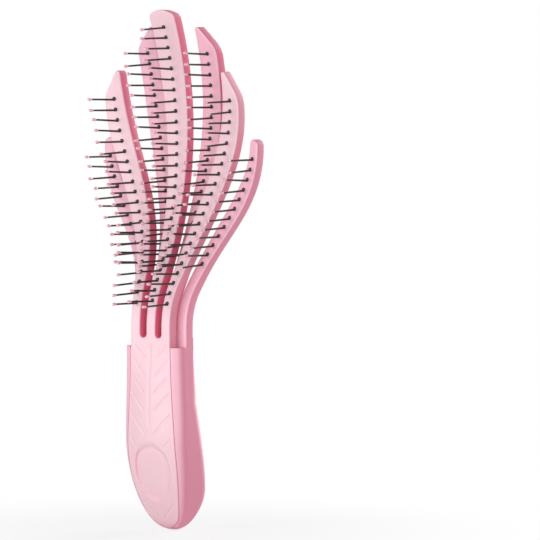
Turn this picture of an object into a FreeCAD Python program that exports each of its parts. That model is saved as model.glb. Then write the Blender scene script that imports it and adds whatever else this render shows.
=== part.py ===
# Detangling brush: two stacked layers of curved flexing fingers on a two-piece handle.
# +Z runs from the butt of the handle to the finger tips, the pins point along -Y and X runs across.
# The origin lies at the grip, in the middle of the handle.
import FreeCAD
import Part
import math
import os

Vector = FreeCAD.Vector

# Driving dimensions in millimetres, and angles in degrees. Heights are measured from the butt end,
# depths back from the front face of the neck, widths from side to side.
SIZES = {
    # Whole brush
    "overall_length": 230.0,
    "grip_height": 46.0,
    "grip_depth": 9.0,
    "cut_overrun": 20.0,
    # Handle
    "grip_width": 33.1,
    "neck_width": 31.3,
    "round_height": 42.0,
    "butt_rounding": 0.8,
    "butt_depth": 16.3,
    "heel_height": 15.0,
    "heel_depth": 26.1,
    "front_crown": 1.5,
    "back_crown": 0.8,
    "neck_foot": 83.0,
    "shoulder_drop": 1.2,
    # Relief of the handle
    "relief_depth": 0.6,
    "relief_plane_depth": 10.2,
    "channel_inset": 0.7,
    "back_channel_width": 4.4,
    "back_channel_foot": 5.0,
    "back_vein_width": 1.5,
    "front_channel_width": 2.0,
    "front_channel_foot": 46.8,
    "front_vein_width": 1.0,
    "dish_height": 27.0,
    "dish_half_height": 13.5,
    "dish_half_width": 9.6,
    # Front cover, its seat and its pegs
    "cover_wall": 3.2,
    "seam_gap": 0.1,
    "ledge_width": 1.6,
    "shell_wall": 2.4,
    "cavity_foot": 14.0,
    "cavity_top_inset": 11.0,
    "peg_radius": 1.5,
    "peg_length": 5.0,
    "peg_clearance": 0.05,
    "boss_wall": 1.6,
    "lower_peg_height": 24.0,
    "middle_peg_height": 46.0,
    "upper_peg_height": 66.0,
    # Neck
    "front_slot_rise": 3.0,
    "rear_slot_rise": 4.3,
    "hinge_rise": 7.0,
    "hinge_clearance": 0.15,
    "strip_pitch": 8.46,
    "front_strip_width": 5.0,
    "rear_slot_width": 3.0,
    # Finger layers
    "finger_thickness": 5.3,
    "layer_gap": 1.0,
    "bend_radius": 47.0,
    "bowl_radius": 132.0,
    "tip_bowl_radius": 155.0,
    "bowl_rise": 80.0,
    "cup_radius": 196.0,
    "cup_angle": 40.0,
    "rim_radius": 0.9,
    "fan_rise": 4.0,
    # Finger tips
    "centre_tip_outside": 7.1,
    "centre_slant": 20.0,
    "centre_apex_radius": 10.0,
    "centre_shoulder_radius": 2.5,
    "inner_tip_inside": 11.65,
    "inner_tip_outside": 22.2,
    "inner_tip_drop": 7.6,
    "inner_slant": 48.7,
    "inner_apex_radius": 1.5,
    "inner_shoulder_radius": 8.0,
    "mid_tip_inside": 28.35,
    "mid_tip_outside": 37.65,
    "mid_tip_drop": 27.0,
    "mid_slant": 58.0,
    "mid_apex_radius": 1.4,
    "mid_shoulder_radius": 12.0,
    "outer_tip_inside": 38.35,
    "outer_tip_outside": 43.4,
    "outer_tip_drop": 56.7,
    "outer_slant": 25.0,
    "outer_apex_radius": 1.9,
    "outer_shoulder_radius": 2.2,
    # Pins and their beads
    "pin_pitch": 4.77,
    "pin_reach": 17.5,
    "pin_radius": 0.38,
    "foot_radius": 0.8,
    "foot_depth": 2.2,
    "foot_proud": 0.2,
    "foot_clearance": 0.02,
    "bead_radius": 0.75,
    "bead_length": 2.6,
    "bead_shoulder": 0.6,
    "bead_neck_radius": 0.5,
    "bead_bore_depth": 1.4,
    "bead_clearance": 0.02,
    "front_row_rise": 6.0,
    "rear_row_rise": 23.0,
    "centre_row_inset": 7.5,
    "inner_row_inset": 11.6,
    "mid_row_inset": 12.6,
    "outer_row_inset": 8.5,
}

# Lengths of the two handles of each edge's S-curve, as shares of the height that the curve climbs.
EDGE_SHARES = {
    "centre": {"outside": (0.17, 0.40)},
    "inner": {"inside": (0.43, 0.42), "outside": (0.41, 0.48)},
    "mid": {"inside": (0.48, 0.38), "outside": (0.40, 0.34)},
    "outer": {"inside": (0.46, 0.27), "outside": (0.46, 0.45)},
}

# Handle sections: their heights as shares of the height of the neck's foot.
STATION_SHARES = (0.0, 0.007, 0.023, 0.052, 0.1, 0.163, 0.245, 0.35, 0.465, 0.605, 0.745, 0.88, 1.0)
# Exponents of the handle's rounded end: outline, front face and heel.
OUTLINE_POWER = 2.2
FRONT_POWER = 1.65
HEEL_POWER = 1.35
# Corner radii as shares of the section's half-width.
FRONT_CORNER_SHARE = 0.28
BACK_CORNER_SHARE = 0.38
NECK_CORNER_SHARE = 0.07
# Heights, as shares of the neck's foot, where the corners and the crown start to fade into the neck.
CORNER_FADE_SHARE = 0.7
CROWN_FADE_SHARE = 0.8

# Veins of the handle's relief, from start to end: across as a share of half the grip's width, height as a
# share of the neck's foot.
BACK_VEIN_SHARES = (
    (0.12, 0.933, 0.441, 0.990),
    (0.12, 0.846, 0.677, 0.951),
    (0.12, 0.747, 0.779, 0.871),
    (0.12, 0.643, 0.743, 0.771),
    (0.12, 0.534, 0.876, 0.694),
    (0.12, 0.396, 0.870, 0.566),
    (0.12, 0.257, 0.858, 0.427),
    (0.12, 0.100, 0.647, 0.196),
)
FRONT_VEIN_SHARES = (
    (0.169, 0.929, 0.460, 0.990),
    (0.169, 0.831, 0.556, 0.918),
    (0.169, 0.742, 0.568, 0.822),
    (0.169, 0.648, 0.628, 0.741),
    (0.151, 0.523, 0.665, 0.630),
    (0.495, 0.457, 0.700, 0.507),
    (0.150, 0.080, 0.500, 0.150),
)

FRONT_KINDS = ("centre", "mid")
REAR_KINDS = ("inner", "outer")
PEGS = ("lower", "middle", "upper")
# Steps in which the middle line of a finger is measured, and points closer than this are one point.
LINE_STEPS = 400
SAME_POINT = 1e-6

doc = FreeCAD.newDocument("detangling_brush")
sheet = doc.addObject("Spreadsheet::Sheet", "sizes")
for row, (alias, value) in enumerate(SIZES.items(), start=1):
    sheet.set(f"A{row}", alias)
    sheet.set(f"B{row}", str(value))
    sheet.setAlias(f"B{row}", alias)
doc.recompute()


def size(alias):
    """A driving dimension, read from the sheet."""
    return float(sheet.get(alias))


def bind(obj, expressions):
    """Tie properties of an object to the sheet."""
    for name, expression in expressions.items():
        obj.setExpression(name, expression)
    return obj


# Sketches and features


def new_body(name):
    """An empty body."""
    return doc.addObject("PartDesign::Body", name)


def add_sketch(body, name, role, curves, offsets=None):
    """A sketch of closed curves on one of the body's origin planes, moved by bound offsets."""
    sketch = body.newObject("Sketcher::SketchObject", name)
    plane = next(item for item in body.Origin.OriginFeatures if item.Role == role)
    sketch.AttachmentSupport = (plane, [""])
    sketch.MapMode = "FlatFace"
    bind(sketch, offsets or {})
    sketch.addGeometry(curves, False)
    sketch.detectMissingPointOnPointConstraints(SAME_POINT)
    sketch.makeMissingPointOnPointCoincident()
    return sketch


def polyline(points):
    """Straight edges from point to point."""
    corners = [Vector(x, y, 0) for x, y in points]
    return [Part.LineSegment(start, end) for start, end in zip(corners, corners[1:])]


def polygon(points):
    """Straight edges through points, closed."""
    return polyline(list(points) + [points[0]])


def through(points):
    """A smooth curve through points."""
    curve = Part.BSplineCurve()
    curve.interpolate([Vector(x, y, 0) for x, y in points])
    return curve


def pad_across(name, role, curves, length):
    """A body padded evenly to both sides of one of its origin planes."""
    body = new_body(name)
    pad = body.newObject("PartDesign::Pad", f"{name}_pad")
    pad.Profile = add_sketch(body, f"{name}_outline", role, curves)
    pad.SideType = "Symmetric"
    bind(pad, {"Length": length})
    return body


def boolean(kind, name, base, tool):
    """A cut, common or fuse of two objects."""
    result = doc.addObject(f"Part::{kind}", name)
    result.Base = base
    result.Tool = tool
    return result


def cylinder(name, radius, height, start, direction):
    """A cylinder with bound sizes, from a point along a direction."""
    result = doc.addObject("Part::Cylinder", name)
    bind(result, {"Radius": radius, "Height": height})
    result.Placement = FreeCAD.Placement(start, FreeCAD.Rotation(Vector(0, 0, 1), direction))
    return result


def compound(name, shapes):
    """Separate solids kept as one object."""
    result = doc.addObject("Part::Feature", name)
    result.Shape = Part.makeCompound(shapes)
    return result


# Handle outline and side profile


def rounded_end(share, power):
    """Superellipse quarter: 0 at share 1, rising to 1 at share 0."""
    return (1 - share ** power) ** (1 / power)


def end_share(height, top):
    """How far a height lies below the top of a rounded end, as a share."""
    return max(0, top - height) / (top + size("butt_rounding"))


def hinge_height():
    """Height of the bending lines, where the bend of the fingers starts."""
    return size("neck_foot") + size("hinge_rise")


def fan_height():
    """Height where the fingers start to fan out."""
    return hinge_height() + size("fan_rise")


def bowl_height():
    """Height of the deepest part of the bowl."""
    return hinge_height() + size("bowl_rise")


def tip_height(kind):
    """Height of a finger's tip."""
    return size("overall_length") - (0 if kind == "centre" else size(f"{kind}_tip_drop"))


def fade_share(height, start_share):
    """0 up to a start in the upper handle, rising to 1 at the neck's foot."""
    return max(0, height / size("neck_foot") - start_share) / (1 - start_share)


def half_width(height):
    """Half the handle's width at a height."""
    grip = size("grip_width") / 2
    if height < size("round_height"):
        return grip * rounded_end(end_share(height, size("round_height")), OUTLINE_POWER)
    climb = (height - size("round_height")) / (size("neck_foot") - size("round_height"))
    ease = climb * climb * (3 - 2 * climb)
    return grip + ease * (size("neck_width") / 2 - grip)


def cover_half_width(height):
    """Half the width of the front cover at a height."""
    return half_width(height) * (1 - FRONT_CORNER_SHARE)


def cup_sag(across, depth):
    """How far the cupped layers come forward at a distance from the middle."""
    radius = size("cup_radius") + depth
    return radius - math.sqrt(radius * radius - across * across)


def neck_depth():
    """Depth of the rear face of the neck."""
    return 2 * size("finger_thickness") + size("layer_gap")


def front_edge(height):
    """Depth of the handle's front face at the cover's edge."""
    end = rounded_end(end_share(height, size("round_height")), FRONT_POWER)
    sag = fade_share(height, CROWN_FADE_SHARE) * cup_sag(cover_half_width(height), 0)
    return size("butt_depth") * (1 - end) - sag


def front_crown(height):
    """How far the middle of the front face stands in front of the cover's edge."""
    fade = fade_share(height, CROWN_FADE_SHARE)
    full = size("front_crown") * 2 * half_width(height) / size("grip_width")
    return full * (1 - fade) - fade * cup_sag(cover_half_width(height), 0)


def back_depth(height):
    """Depth of the middle of the handle's back."""
    heel = size("heel_height")
    if height < heel:
        swell = rounded_end(end_share(height, heel), HEEL_POWER)
        return size("butt_depth") + (size("heel_depth") - size("butt_depth")) * swell
    climb = (height - heel) / (size("neck_foot") - heel)
    return size("heel_depth") + climb * (neck_depth() - size("heel_depth"))


def corner(x_middle, y_middle, radius, x_side, y_side, x_first):
    """Quarter circle round a middle point, from the side that faces X or the one that faces Y."""
    lean = math.sqrt(0.5)
    on_x = Vector(x_middle + x_side * radius, y_middle, 0)
    on_y = Vector(x_middle, y_middle + y_side * radius, 0)
    half_way = Vector(x_middle + x_side * radius * lean, y_middle + y_side * radius * lean, 0)
    return Part.Arc(on_x, half_way, on_y) if x_first else Part.Arc(on_y, half_way, on_x)


def section_curves(height, inset):
    """Handle section, set in by an inset: crowned front, round corners, straight sides and a crowned back."""
    across = half_width(height)
    front_radius = across * FRONT_CORNER_SHARE
    fade = fade_share(height, CORNER_FADE_SHARE)
    back_radius = across * (BACK_CORNER_SHARE + fade * (NECK_CORNER_SHARE - BACK_CORNER_SHARE))
    back_crown = size("back_crown") * 2 * across / size("grip_width")
    edge = across - front_radius
    flat = across - back_radius
    side = across - inset
    front = front_edge(height) + inset
    crest = front - front_crown(height)
    back_middle = back_depth(height) - inset
    back = back_middle - back_crown
    front_radius -= inset
    back_radius -= inset
    side_front = front + front_radius
    side_back = back - back_radius
    return [
        Part.Arc(Vector(-edge, front, 0), Vector(0, crest, 0), Vector(edge, front, 0)),
        corner(edge, side_front, front_radius, 1, -1, False),
        *polyline([(side, side_front), (side, side_back)]),
        corner(flat, side_back, back_radius, 1, 1, True),
        Part.Arc(Vector(flat, back, 0), Vector(0, back_middle, 0), Vector(-flat, back, 0)),
        corner(-flat, side_back, back_radius, -1, 1, False),
        *polyline([(-side, side_back), (-side, side_front)]),
        corner(-edge, side_front, front_radius, -1, -1, True),
    ]


def handle_loft(name, inset):
    """The whole handle as one solid loft, set in by an inset, from the butt to the neck's foot."""
    body = new_body(name)
    sections = []
    for number, share in enumerate(STATION_SHARES):
        curves = section_curves(share * size("neck_foot"), inset)
        offset = {"AttachmentOffset.Base.z": f"sizes.neck_foot * {share}"}
        sections.append(add_sketch(body, f"{name}_section_{number}", "XY_Plane", curves, offset))
    loft = body.newObject("PartDesign::AdditiveLoft", f"{name}_loft")
    loft.Profile = sections[0]
    loft.Sections = sections[1:]
    return body


# Relief of the handle


def vein_curves(shares, width):
    """Outlines of veins on both sides of the middle: narrow bars from start to end."""
    grip = size("grip_width") / 2
    foot = size("neck_foot")
    curves = []
    for start_x, start_height, end_x, end_height in shares:
        run = Vector((end_x - start_x) * grip, (end_height - start_height) * foot, 0)
        out = Vector(-run.y, run.x, 0).normalize() * (width / 2)
        start = Vector(start_x * grip, start_height * foot, 0)
        corners = [start + out, start - out, start + run - out, start + run + out]
        for side in (1, -1):
            curves += polygon([(side * point.x, point.y) for point in corners])
    return curves


def channel_curves(width, foot):
    """Outline of the channel along the middle of a face, up to the neck."""
    top = size("neck_foot") - size("channel_inset")
    half = width / 2
    return polygon([(-half, foot), (half, foot), (half, top), (-half, top)])


def dish_curve():
    """Outline of the oval thumb rest."""
    middle = Vector(0, size("dish_height"), 0)
    top = middle + Vector(0, size("dish_half_height"), 0)
    return Part.Ellipse(top, middle + Vector(size("dish_half_width"), 0, 0), middle)


def relief(name, curves, backward, core):
    """What is cut from the handle's front or back for outlines: as deep as the core lies below the face."""
    body = new_body(f"{name}_prisms")
    offset = {"AttachmentOffset.Base.z": "-sizes.relief_plane_depth"}
    pad = body.newObject("PartDesign::Pad", f"{name}_pad")
    pad.Profile = add_sketch(body, f"{name}_outline", "XZ_Plane", curves, offset)
    pad.Reversed = backward
    bind(pad, {"Length": "sizes.cut_overrun"})
    return boolean("Cut", name, body, core)


# Front cover region


def cover_plan(name, margin):
    """The cover's outline seen from the front, wider by a margin, padded through the handle."""
    heights = [share * size("neck_foot") for share in STATION_SHARES]
    right = [(cover_half_width(height) + margin, height) for height in heights]
    left = [(-x, height) for x, height in reversed(right)]
    foot = -size("cut_overrun")
    top = size("neck_foot") + size("cut_overrun")
    above = polyline([right[-1], (right[-1][0], top), (left[0][0], top), left[0]])
    below = polyline([left[-1], (left[-1][0], foot), (right[0][0], foot), right[0]])
    curves = [through(right), *above, through(left), *below]
    return pad_across(name, "XZ_Plane", curves, "4 * sizes.grip_width")


def parting_point(height, wall):
    """Point of the cover's rear face: a wall's thickness in from the front face at a height."""
    step = size("neck_foot") / LINE_STEPS
    low = max(0, height - step)
    slope = (front_edge(height + step) - front_edge(low)) / (height + step - low)
    length = math.hypot(1, slope)
    return front_edge(height) + wall / length, height - wall * slope / length


def parting_depth(height, wall):
    """Depth of the cover's rear face at a height."""
    low, high = 0, size("neck_foot")
    for _ in range(LINE_STEPS):
        middle = (low + high) / 2
        if parting_point(middle, wall)[1] < height:
            low = middle
        else:
            high = middle
    return parting_point(low, wall)[0]


def cover_side(name, wall):
    """Everything in front of the cover's rear face, padded from side to side."""
    heights = [share * size("neck_foot") for share in STATION_SHARES]
    rear = [parting_point(height, wall) for height in heights]
    foot = -size("cut_overrun")
    top = size("neck_foot") + size("cut_overrun")
    ends = [rear[-1], (rear[-1][0], top), (foot, top), (foot, foot), (rear[0][0], foot), rear[0]]
    return pad_across(name, "YZ_Plane", [through(rear), *polyline(ends)], "4 * sizes.grip_width")


def peg_line(name, radius, start, length):
    """Cylinders along Y at the pegs' heights, from the cover's rear face plus a start depth."""
    shapes = []
    for peg in PEGS:
        height = size(f"{peg}_peg_height")
        depth = parting_depth(height, size("cover_wall")) + start
        shapes.append(Part.makeCylinder(radius, length, Vector(0, depth, height), Vector(0, 1, 0)))
    return compound(name, shapes)


# Neck strips and finger layers


def layer_depth(kind):
    """Depth of a layer's front face at the neck."""
    if kind in FRONT_KINDS:
        return 0
    return size("finger_thickness") + size("layer_gap")


def neck_strip(kind):
    """Inner and outer edge of a finger's strip at the neck, on the right-hand side."""
    pitch = size("strip_pitch")
    half_strip = size("front_strip_width") / 2
    half_slot = size("rear_slot_width") / 2
    return {
        "centre": (-half_strip, half_strip),
        "mid": (pitch - half_strip, pitch + half_strip),
        "inner": (half_slot, pitch - half_slot),
        "outer": (pitch + half_slot, size("neck_width") / 2),
    }[kind]


def bend_angle():
    """Lean of the fingers where the neck's bend meets the bowl."""
    climb = bowl_height() - hinge_height()
    return math.asin(climb / (size("bend_radius") + size("bowl_radius")))


def bowl_depth():
    """Depth of the front layer's face at the bottom of the bowl."""
    return (size("bend_radius") + size("bowl_radius")) * (1 - math.cos(bend_angle()))


def face_arcs(depth):
    """Centre, radius and angles of the three arcs of a face that lies a depth behind the front layer's."""
    lean = bend_angle()
    reach = size("overall_length") + size("cut_overrun") - bowl_height()
    bowl = bowl_height()
    return [
        (size("bend_radius"), hinge_height(), size("bend_radius") - depth, math.pi - lean, math.pi),
        (bowl_depth() - size("bowl_radius"), bowl, size("bowl_radius") + depth, -lean, 0),
        (bowl_depth() - size("tip_bowl_radius"), bowl, size("tip_bowl_radius") + depth, 0,
         math.asin(reach / size("tip_bowl_radius"))),
    ]


def face_depth(across, height, depth):
    """Depth of a cupped face at a distance from the middle and a height."""
    bend, bowl, tip = face_arcs(depth)
    if height < hinge_height():
        profile = depth
    elif height < bend[1] + bend[2] * math.sin(bend_angle()):
        profile = bend[0] - math.sqrt(bend[2] ** 2 - (height - bend[1]) ** 2)
    else:
        arc = bowl if height < bowl_height() else tip
        profile = arc[0] + math.sqrt(arc[2] ** 2 - (height - arc[1]) ** 2)
    return profile - cup_sag(across, profile)


def layer_curves(depth):
    """Side profile of a finger layer, measured from the axis of its cup."""
    shift = size("cup_radius")
    thick = size("finger_thickness")
    foot = size("neck_foot")
    curves = []
    ends = []
    for face in (depth, depth + thick):
        for x, height, radius, start, end in face_arcs(face):
            circle = Part.Circle(Vector(x + shift, height, 0), Vector(0, 0, 1), radius)
            curves.append(Part.ArcOfCircle(circle, start, end))
        top = (x + shift + radius * math.cos(end), height + radius * math.sin(end))
        ends.append([top, (face + shift, foot), (face + shift, hinge_height())])
    (front_top, front_foot, front_neck), (back_top, back_foot, back_neck) = ends
    curves += polyline([front_neck, front_foot, back_foot, back_neck])
    curves += polyline([front_top, back_top])
    return curves


def neck_curves(depth):
    """Side profile of a layer's neck, measured from the axis of its cup."""
    front = size("cup_radius") + depth
    back = front + size("finger_thickness")
    foot = size("neck_foot")
    top = hinge_height()
    return polygon([(front, foot), (back, foot), (back, top), (front, top)])


def face_kind(face):
    """Broad for a front or rear face, end for a level flat face, side for the rest."""
    u_low, u_high, v_low, v_high = face.ParameterRange
    normal = face.normalAt((u_low + u_high) / 2, (v_low + v_high) / 2)
    if abs(normal.y) > math.sqrt(0.5):
        return "broad"
    if abs(normal.z) > math.sqrt(0.5) and face.Surface.TypeId == "Part::GeomPlane":
        return "end"
    return "side"


def rim_edges(shape):
    """Names of the edges where a broad face meets a side."""
    names = []
    for number, edge in enumerate(shape.Edges, start=1):
        kinds = {face_kind(face) for face in shape.ancestorsOfType(edge, Part.Face)}
        if kinds == {"broad", "side"}:
            names.append(f"Edge{number}")
    return names


def cupped_piece(name, side_curves, outline):
    """A cupped slab of a side profile, trimmed to an outline seen from the front, with rounded rims."""
    body = new_body(name)
    offset = {"AttachmentOffset.Base.x": "-sizes.cup_radius"}
    side = add_sketch(body, f"{name}_side", "YZ_Plane", side_curves, offset)
    slab = body.newObject("PartDesign::Revolution", f"{name}_slab")
    slab.Profile = side
    slab.ReferenceAxis = (side, ["V_Axis"])
    slab.Midplane = True
    bind(slab, {"Angle": "sizes.cup_angle"})
    reach = size("overall_length")
    frame = polygon([(-reach, -reach), (reach, -reach), (reach, 2 * reach), (-reach, 2 * reach)])
    trim = body.newObject("PartDesign::Pocket", f"{name}_trim")
    trim.Profile = add_sketch(body, f"{name}_plan", "XZ_Plane", frame + outline)
    trim.Type = "ThroughAll"
    trim.SideType = "Symmetric"
    doc.recompute()
    rims = body.newObject("PartDesign::Fillet", f"{name}_rims")
    rims.Base = (trim, rim_edges(trim.Shape))
    bind(rims, {"Radius": "sizes.rim_radius"})
    return body


# Finger outlines


def sharp_tip(kind):
    """Corners of a finger's tip before rounding, from the inside edge to the outside: x, height, radius."""
    outside = size(f"{kind}_tip_outside")
    slant = math.radians(size(f"{kind}_slant"))
    apex_radius = size(f"{kind}_apex_radius")
    shoulder_radius = size(f"{kind}_shoulder_radius")
    if kind == "centre":
        apex = size("overall_length") + apex_radius * (1 / math.cos(slant) - 1)
        shoulder = apex - outside * math.tan(slant)
        middle = (0, apex, apex_radius)
        return [(-outside, shoulder, shoulder_radius), middle, (outside, shoulder, shoulder_radius)]
    inside = size(f"{kind}_tip_inside")
    half_apex = (math.pi / 2 - slant) / 2
    apex = tip_height(kind) - apex_radius + apex_radius / math.tan(half_apex)
    shoulder = apex - (outside - inside) * math.tan(slant)
    return [(inside, apex, apex_radius), (outside, shoulder, shoulder_radius)]


def rounded_tip(kind):
    """Curves round a finger's tip, with the points where they leave the inside and outside edges."""
    corners = sharp_tip(kind)
    foot = hinge_height()
    path = [(corners[0][0], foot)] + [(x, height) for x, height, _ in corners] + [(corners[-1][0], foot)]
    curves = []
    leaving = None
    for before, here, after, (_, _, radius) in zip(path, path[1:], path[2:], corners):
        spot = Vector(here[0], here[1], 0)
        back = (Vector(before[0], before[1], 0) - spot).normalize()
        ahead = (Vector(after[0], after[1], 0) - spot).normalize()
        half = back.getAngle(ahead) / 2
        start = spot + back * (radius / math.tan(half))
        end = spot + ahead * (radius / math.tan(half))
        middle = spot + (back + ahead).normalize() * (radius / math.sin(half) - radius)
        if leaving is None:
            first = start
        else:
            curves.append(Part.LineSegment(leaving, start))
        curves.append(Part.Arc(start, middle, end))
        leaving = end
    return curves, first, leaving


def edge_poles(kind, side):
    """Poles of the S-curve of one edge of a finger, from the fan's start to the tip's rounding."""
    _, first, last = rounded_tip(kind)
    strip = neck_strip(kind)
    start = strip[0] if side == "inside" else strip[1]
    end = first if side == "inside" else last
    shares = EDGE_SHARES[kind].get(side, EDGE_SHARES[kind]["outside"])
    fan = fan_height()
    climb = end.y - fan
    return [
        Vector(start, fan, 0),
        Vector(start, fan + shares[0] * climb, 0),
        Vector(end.x, end.y - shares[1] * climb, 0),
        end,
    ]


def edge_place(poles, height):
    """Distance from the middle of an edge at a height."""
    if height <= poles[0].y:
        return poles[0].x
    if height >= poles[-1].y:
        return poles[-1].x
    curve = Part.BezierCurve()
    curve.setPoles(poles)
    low, high = 0, 1
    while high - low > SAME_POINT:
        middle = (low + high) / 2
        if curve.value(middle).y < height:
            low = middle
        else:
            high = middle
    return curve.value(low).x


def finger_outline(kind):
    """A finger's closed outline seen from the front, with its strip running down to the neck's foot."""
    foot = size("neck_foot") - size("cut_overrun")
    tip, _, _ = rounded_tip(kind)
    edges = []
    for side in ("inside", "outside"):
        curve = Part.BezierCurve()
        curve.setPoles(edge_poles(kind, side))
        edges.append(curve.toBSpline())
    inside, outside = neck_strip(kind)
    fan = fan_height()
    strip = polyline([(inside, fan), (inside, foot), (outside, foot), (outside, fan)])
    return [*edges, *tip, *strip]


def prong_outline(slots, slot_width, rise, half):
    """A neck's outline seen from the front, with round-bottomed slots between its prongs."""
    foot = size("neck_foot") - size("cut_overrun")
    top = hinge_height() + size("cut_overrun")
    radius = slot_width / 2
    floor = size("neck_foot") + rise + radius
    curves = []
    corner_point = (-half, top)
    for place in slots:
        left, right = place - radius, place + radius
        curves += polyline([corner_point, (left, top), (left, floor)])
        lowest = Vector(place, floor - radius, 0)
        curves.append(Part.Arc(Vector(left, floor, 0), lowest, Vector(right, floor, 0)))
        curves += polyline([(right, floor), (right, top)])
        corner_point = (right, top)
    curves += polyline([corner_point, (half, top), (half, foot), (-half, foot), (-half, top)])
    return curves


# Flexing roots


def hinge(kind, side):
    """Point and direction of the line about which a finger bends: the middle of its strip."""
    strip = neck_strip(kind)
    radius = size("cup_radius") + layer_depth(kind) + size("finger_thickness") / 2
    yaw = math.asin((strip[0] + strip[1]) / 2 / radius)
    depth = radius * math.cos(yaw) - size("cup_radius")
    point = Vector(side * (strip[0] + strip[1]) / 2, depth, hinge_height())
    return point, Vector(math.cos(yaw), -side * math.sin(yaw), 0)


def knuckle(name, kind, side, radius):
    """A round bar along a finger's bending line, a little longer than its strip is wide."""
    point, direction = hinge(kind, side)
    length = size("strip_pitch") - size("rear_slot_width") / 2
    start = point - direction * (length / 2)
    return cylinder(name, radius, "sizes.strip_pitch - sizes.rear_slot_width / 2", start, direction)


def root_tool(kind):
    """What is cut from a finger below its bending line, so that its root ends in a half round."""
    reach = size("overall_length")
    block = doc.addObject("Part::Box", f"{kind}_root_block")
    lengths = {"Length": "2 * sizes.overall_length", "Width": "2 * sizes.overall_length"}
    bind(block, {**lengths, "Height": "sizes.neck_foot + sizes.hinge_rise"})
    block.Placement.Base = Vector(-reach, -reach, 0)
    bar = knuckle(f"{kind}_knuckle", kind, 1, "sizes.finger_thickness / 2")
    return boolean("Cut", f"{kind}_root_tool", block, bar)


def seat_tool(name, kinds):
    """Round seats for the roots of a layer's fingers."""
    bars = []
    for kind in kinds:
        for side in (1,) if kind == "centre" else (-1, 1):
            radius = "sizes.finger_thickness / 2 + sizes.hinge_clearance"
            bars.append(knuckle(f"{name}_{kind}_{side + 1}", kind, side, radius))
    tool = doc.addObject("Part::Compound", name)
    tool.Links = bars
    return tool


# Pins and beads


def pin_places(kind):
    """Feet of a finger's pins: points on the middle line of its front face, a pitch apart."""
    layer = "front" if kind in FRONT_KINDS else "rear"
    low = fan_height() + size(f"{layer}_row_rise")
    high = tip_height(kind) - size(f"{kind}_row_inset")
    inside = edge_poles(kind, "inside")
    outside = edge_poles(kind, "outside")
    places = []
    travelled = 0
    previous = None
    for step in range(LINE_STEPS + 1):
        height = high - (high - low) * step / LINE_STEPS
        across = (edge_place(inside, height) + edge_place(outside, height)) / 2
        point = Vector(across, face_depth(across, height, layer_depth(kind)), height)
        if previous is not None:
            travelled += (point - previous).Length
        if travelled >= len(places) * size("pin_pitch"):
            places.append(point)
        previous = point
    return places


def turned(name, curves):
    """A body turned about the Y axis from a half profile."""
    body = new_body(name)
    profile = add_sketch(body, f"{name}_profile", "XY_Plane", curves)
    turn = body.newObject("PartDesign::Revolution", f"{name}_turn")
    turn.Profile = profile
    turn.ReferenceAxis = (profile, ["V_Axis"])
    turn.Angle = 360
    return body


def pin_blank():
    """One pin: a round foot that sits in the finger, and the filament, along -Y from the foot's socket."""
    foot = size("foot_radius")
    shaft = size("pin_radius")
    end = size("bead_length") - size("bead_bore_depth") + size("bead_clearance") - size("pin_reach")
    rim = -size("foot_proud")
    inner = size("foot_depth")
    points = [(0, inner), (foot, inner), (foot, rim), (shaft, rim), (shaft, end), (0, end)]
    return turned("pin_blank", polygon(points))


def bead_blank():
    """One bead: a round-nosed drop with a blind bore for the filament's end."""
    radius = size("bead_radius")
    bore = size("pin_radius") + size("bead_clearance")
    nose = -size("pin_reach")
    rear = nose + size("bead_length")
    bore_end = rear - size("bead_bore_depth")
    middle = nose + radius
    lean = radius * math.sqrt(0.5)
    side = Vector(radius, middle, 0)
    curves = [Part.Arc(Vector(0, nose, 0), Vector(lean, middle - lean, 0), side)]
    drop = [(radius, middle), (radius, rear - size("bead_shoulder")), (size("bead_neck_radius"), rear)]
    curves += polyline([*drop, (bore, rear), (bore, bore_end), (0, bore_end), (0, nose)])
    return turned("bead_blank", curves)


def row_of(name, blank, places, side):
    """Copies of a turned piece at each place of a row, on one side of the brush."""
    shapes = []
    for place in places:
        shape = blank.Shape.copy()
        shape.translate(Vector(side * place.x, place.y, place.z))
        shapes.append(shape)
    return compound(name, shapes)


# Assembly


def place(obj, label):
    """Name a finished piece and set it in the grip's frame."""
    obj.Label = label
    return bind(obj, {"Placement.Base.y": "-sizes.grip_depth", "Placement.Base.z": "-sizes.grip_height"})


def mirrored(name, source):
    """The left-hand twin of a piece."""
    twin = doc.addObject("Part::Mirroring", name)
    twin.Source = source
    twin.Normal = Vector(1, 0, 0)
    twin.Label = name
    return twin


def finger_nodes(kind, pin, bead):
    """A finger with its row of pins and beads, on each side that has one."""
    blank = cupped_piece(f"{kind}_blank", layer_curves(layer_depth(kind)), finger_outline(kind))
    rooted = boolean("Cut", f"{kind}_rooted", blank, root_tool(kind))
    places = pin_places(kind)
    radius = size("foot_radius") + size("foot_clearance")
    depth = size("foot_depth") + size("foot_clearance")
    drill = Part.makeCylinder(radius, depth + size("cut_overrun"), Vector(0, depth, 0), Vector(0, -1, 0))
    sockets = []
    for spot in places:
        socket = drill.copy()
        socket.translate(spot)
        sockets.append(socket)
    drills = compound(f"{kind}_sockets", sockets)
    sides = {"": 1} if kind == "centre" else {"_right": 1, "_left": -1}
    nodes = []
    for suffix, side in sides.items():
        name = f"{kind}{suffix}"
        if side > 0:
            finger = place(boolean("Cut", f"{kind}_finger", rooted, drills), f"finger_{name}")
        else:
            finger = mirrored(f"finger_{name}", finger)
        nodes.append(finger)
        nodes.append(place(row_of(f"{name}_pins", pin, places, side), f"pins_{name}"))
        nodes.append(place(row_of(f"{name}_beads", bead, places, side), f"tips_{name}"))
    return nodes


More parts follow.
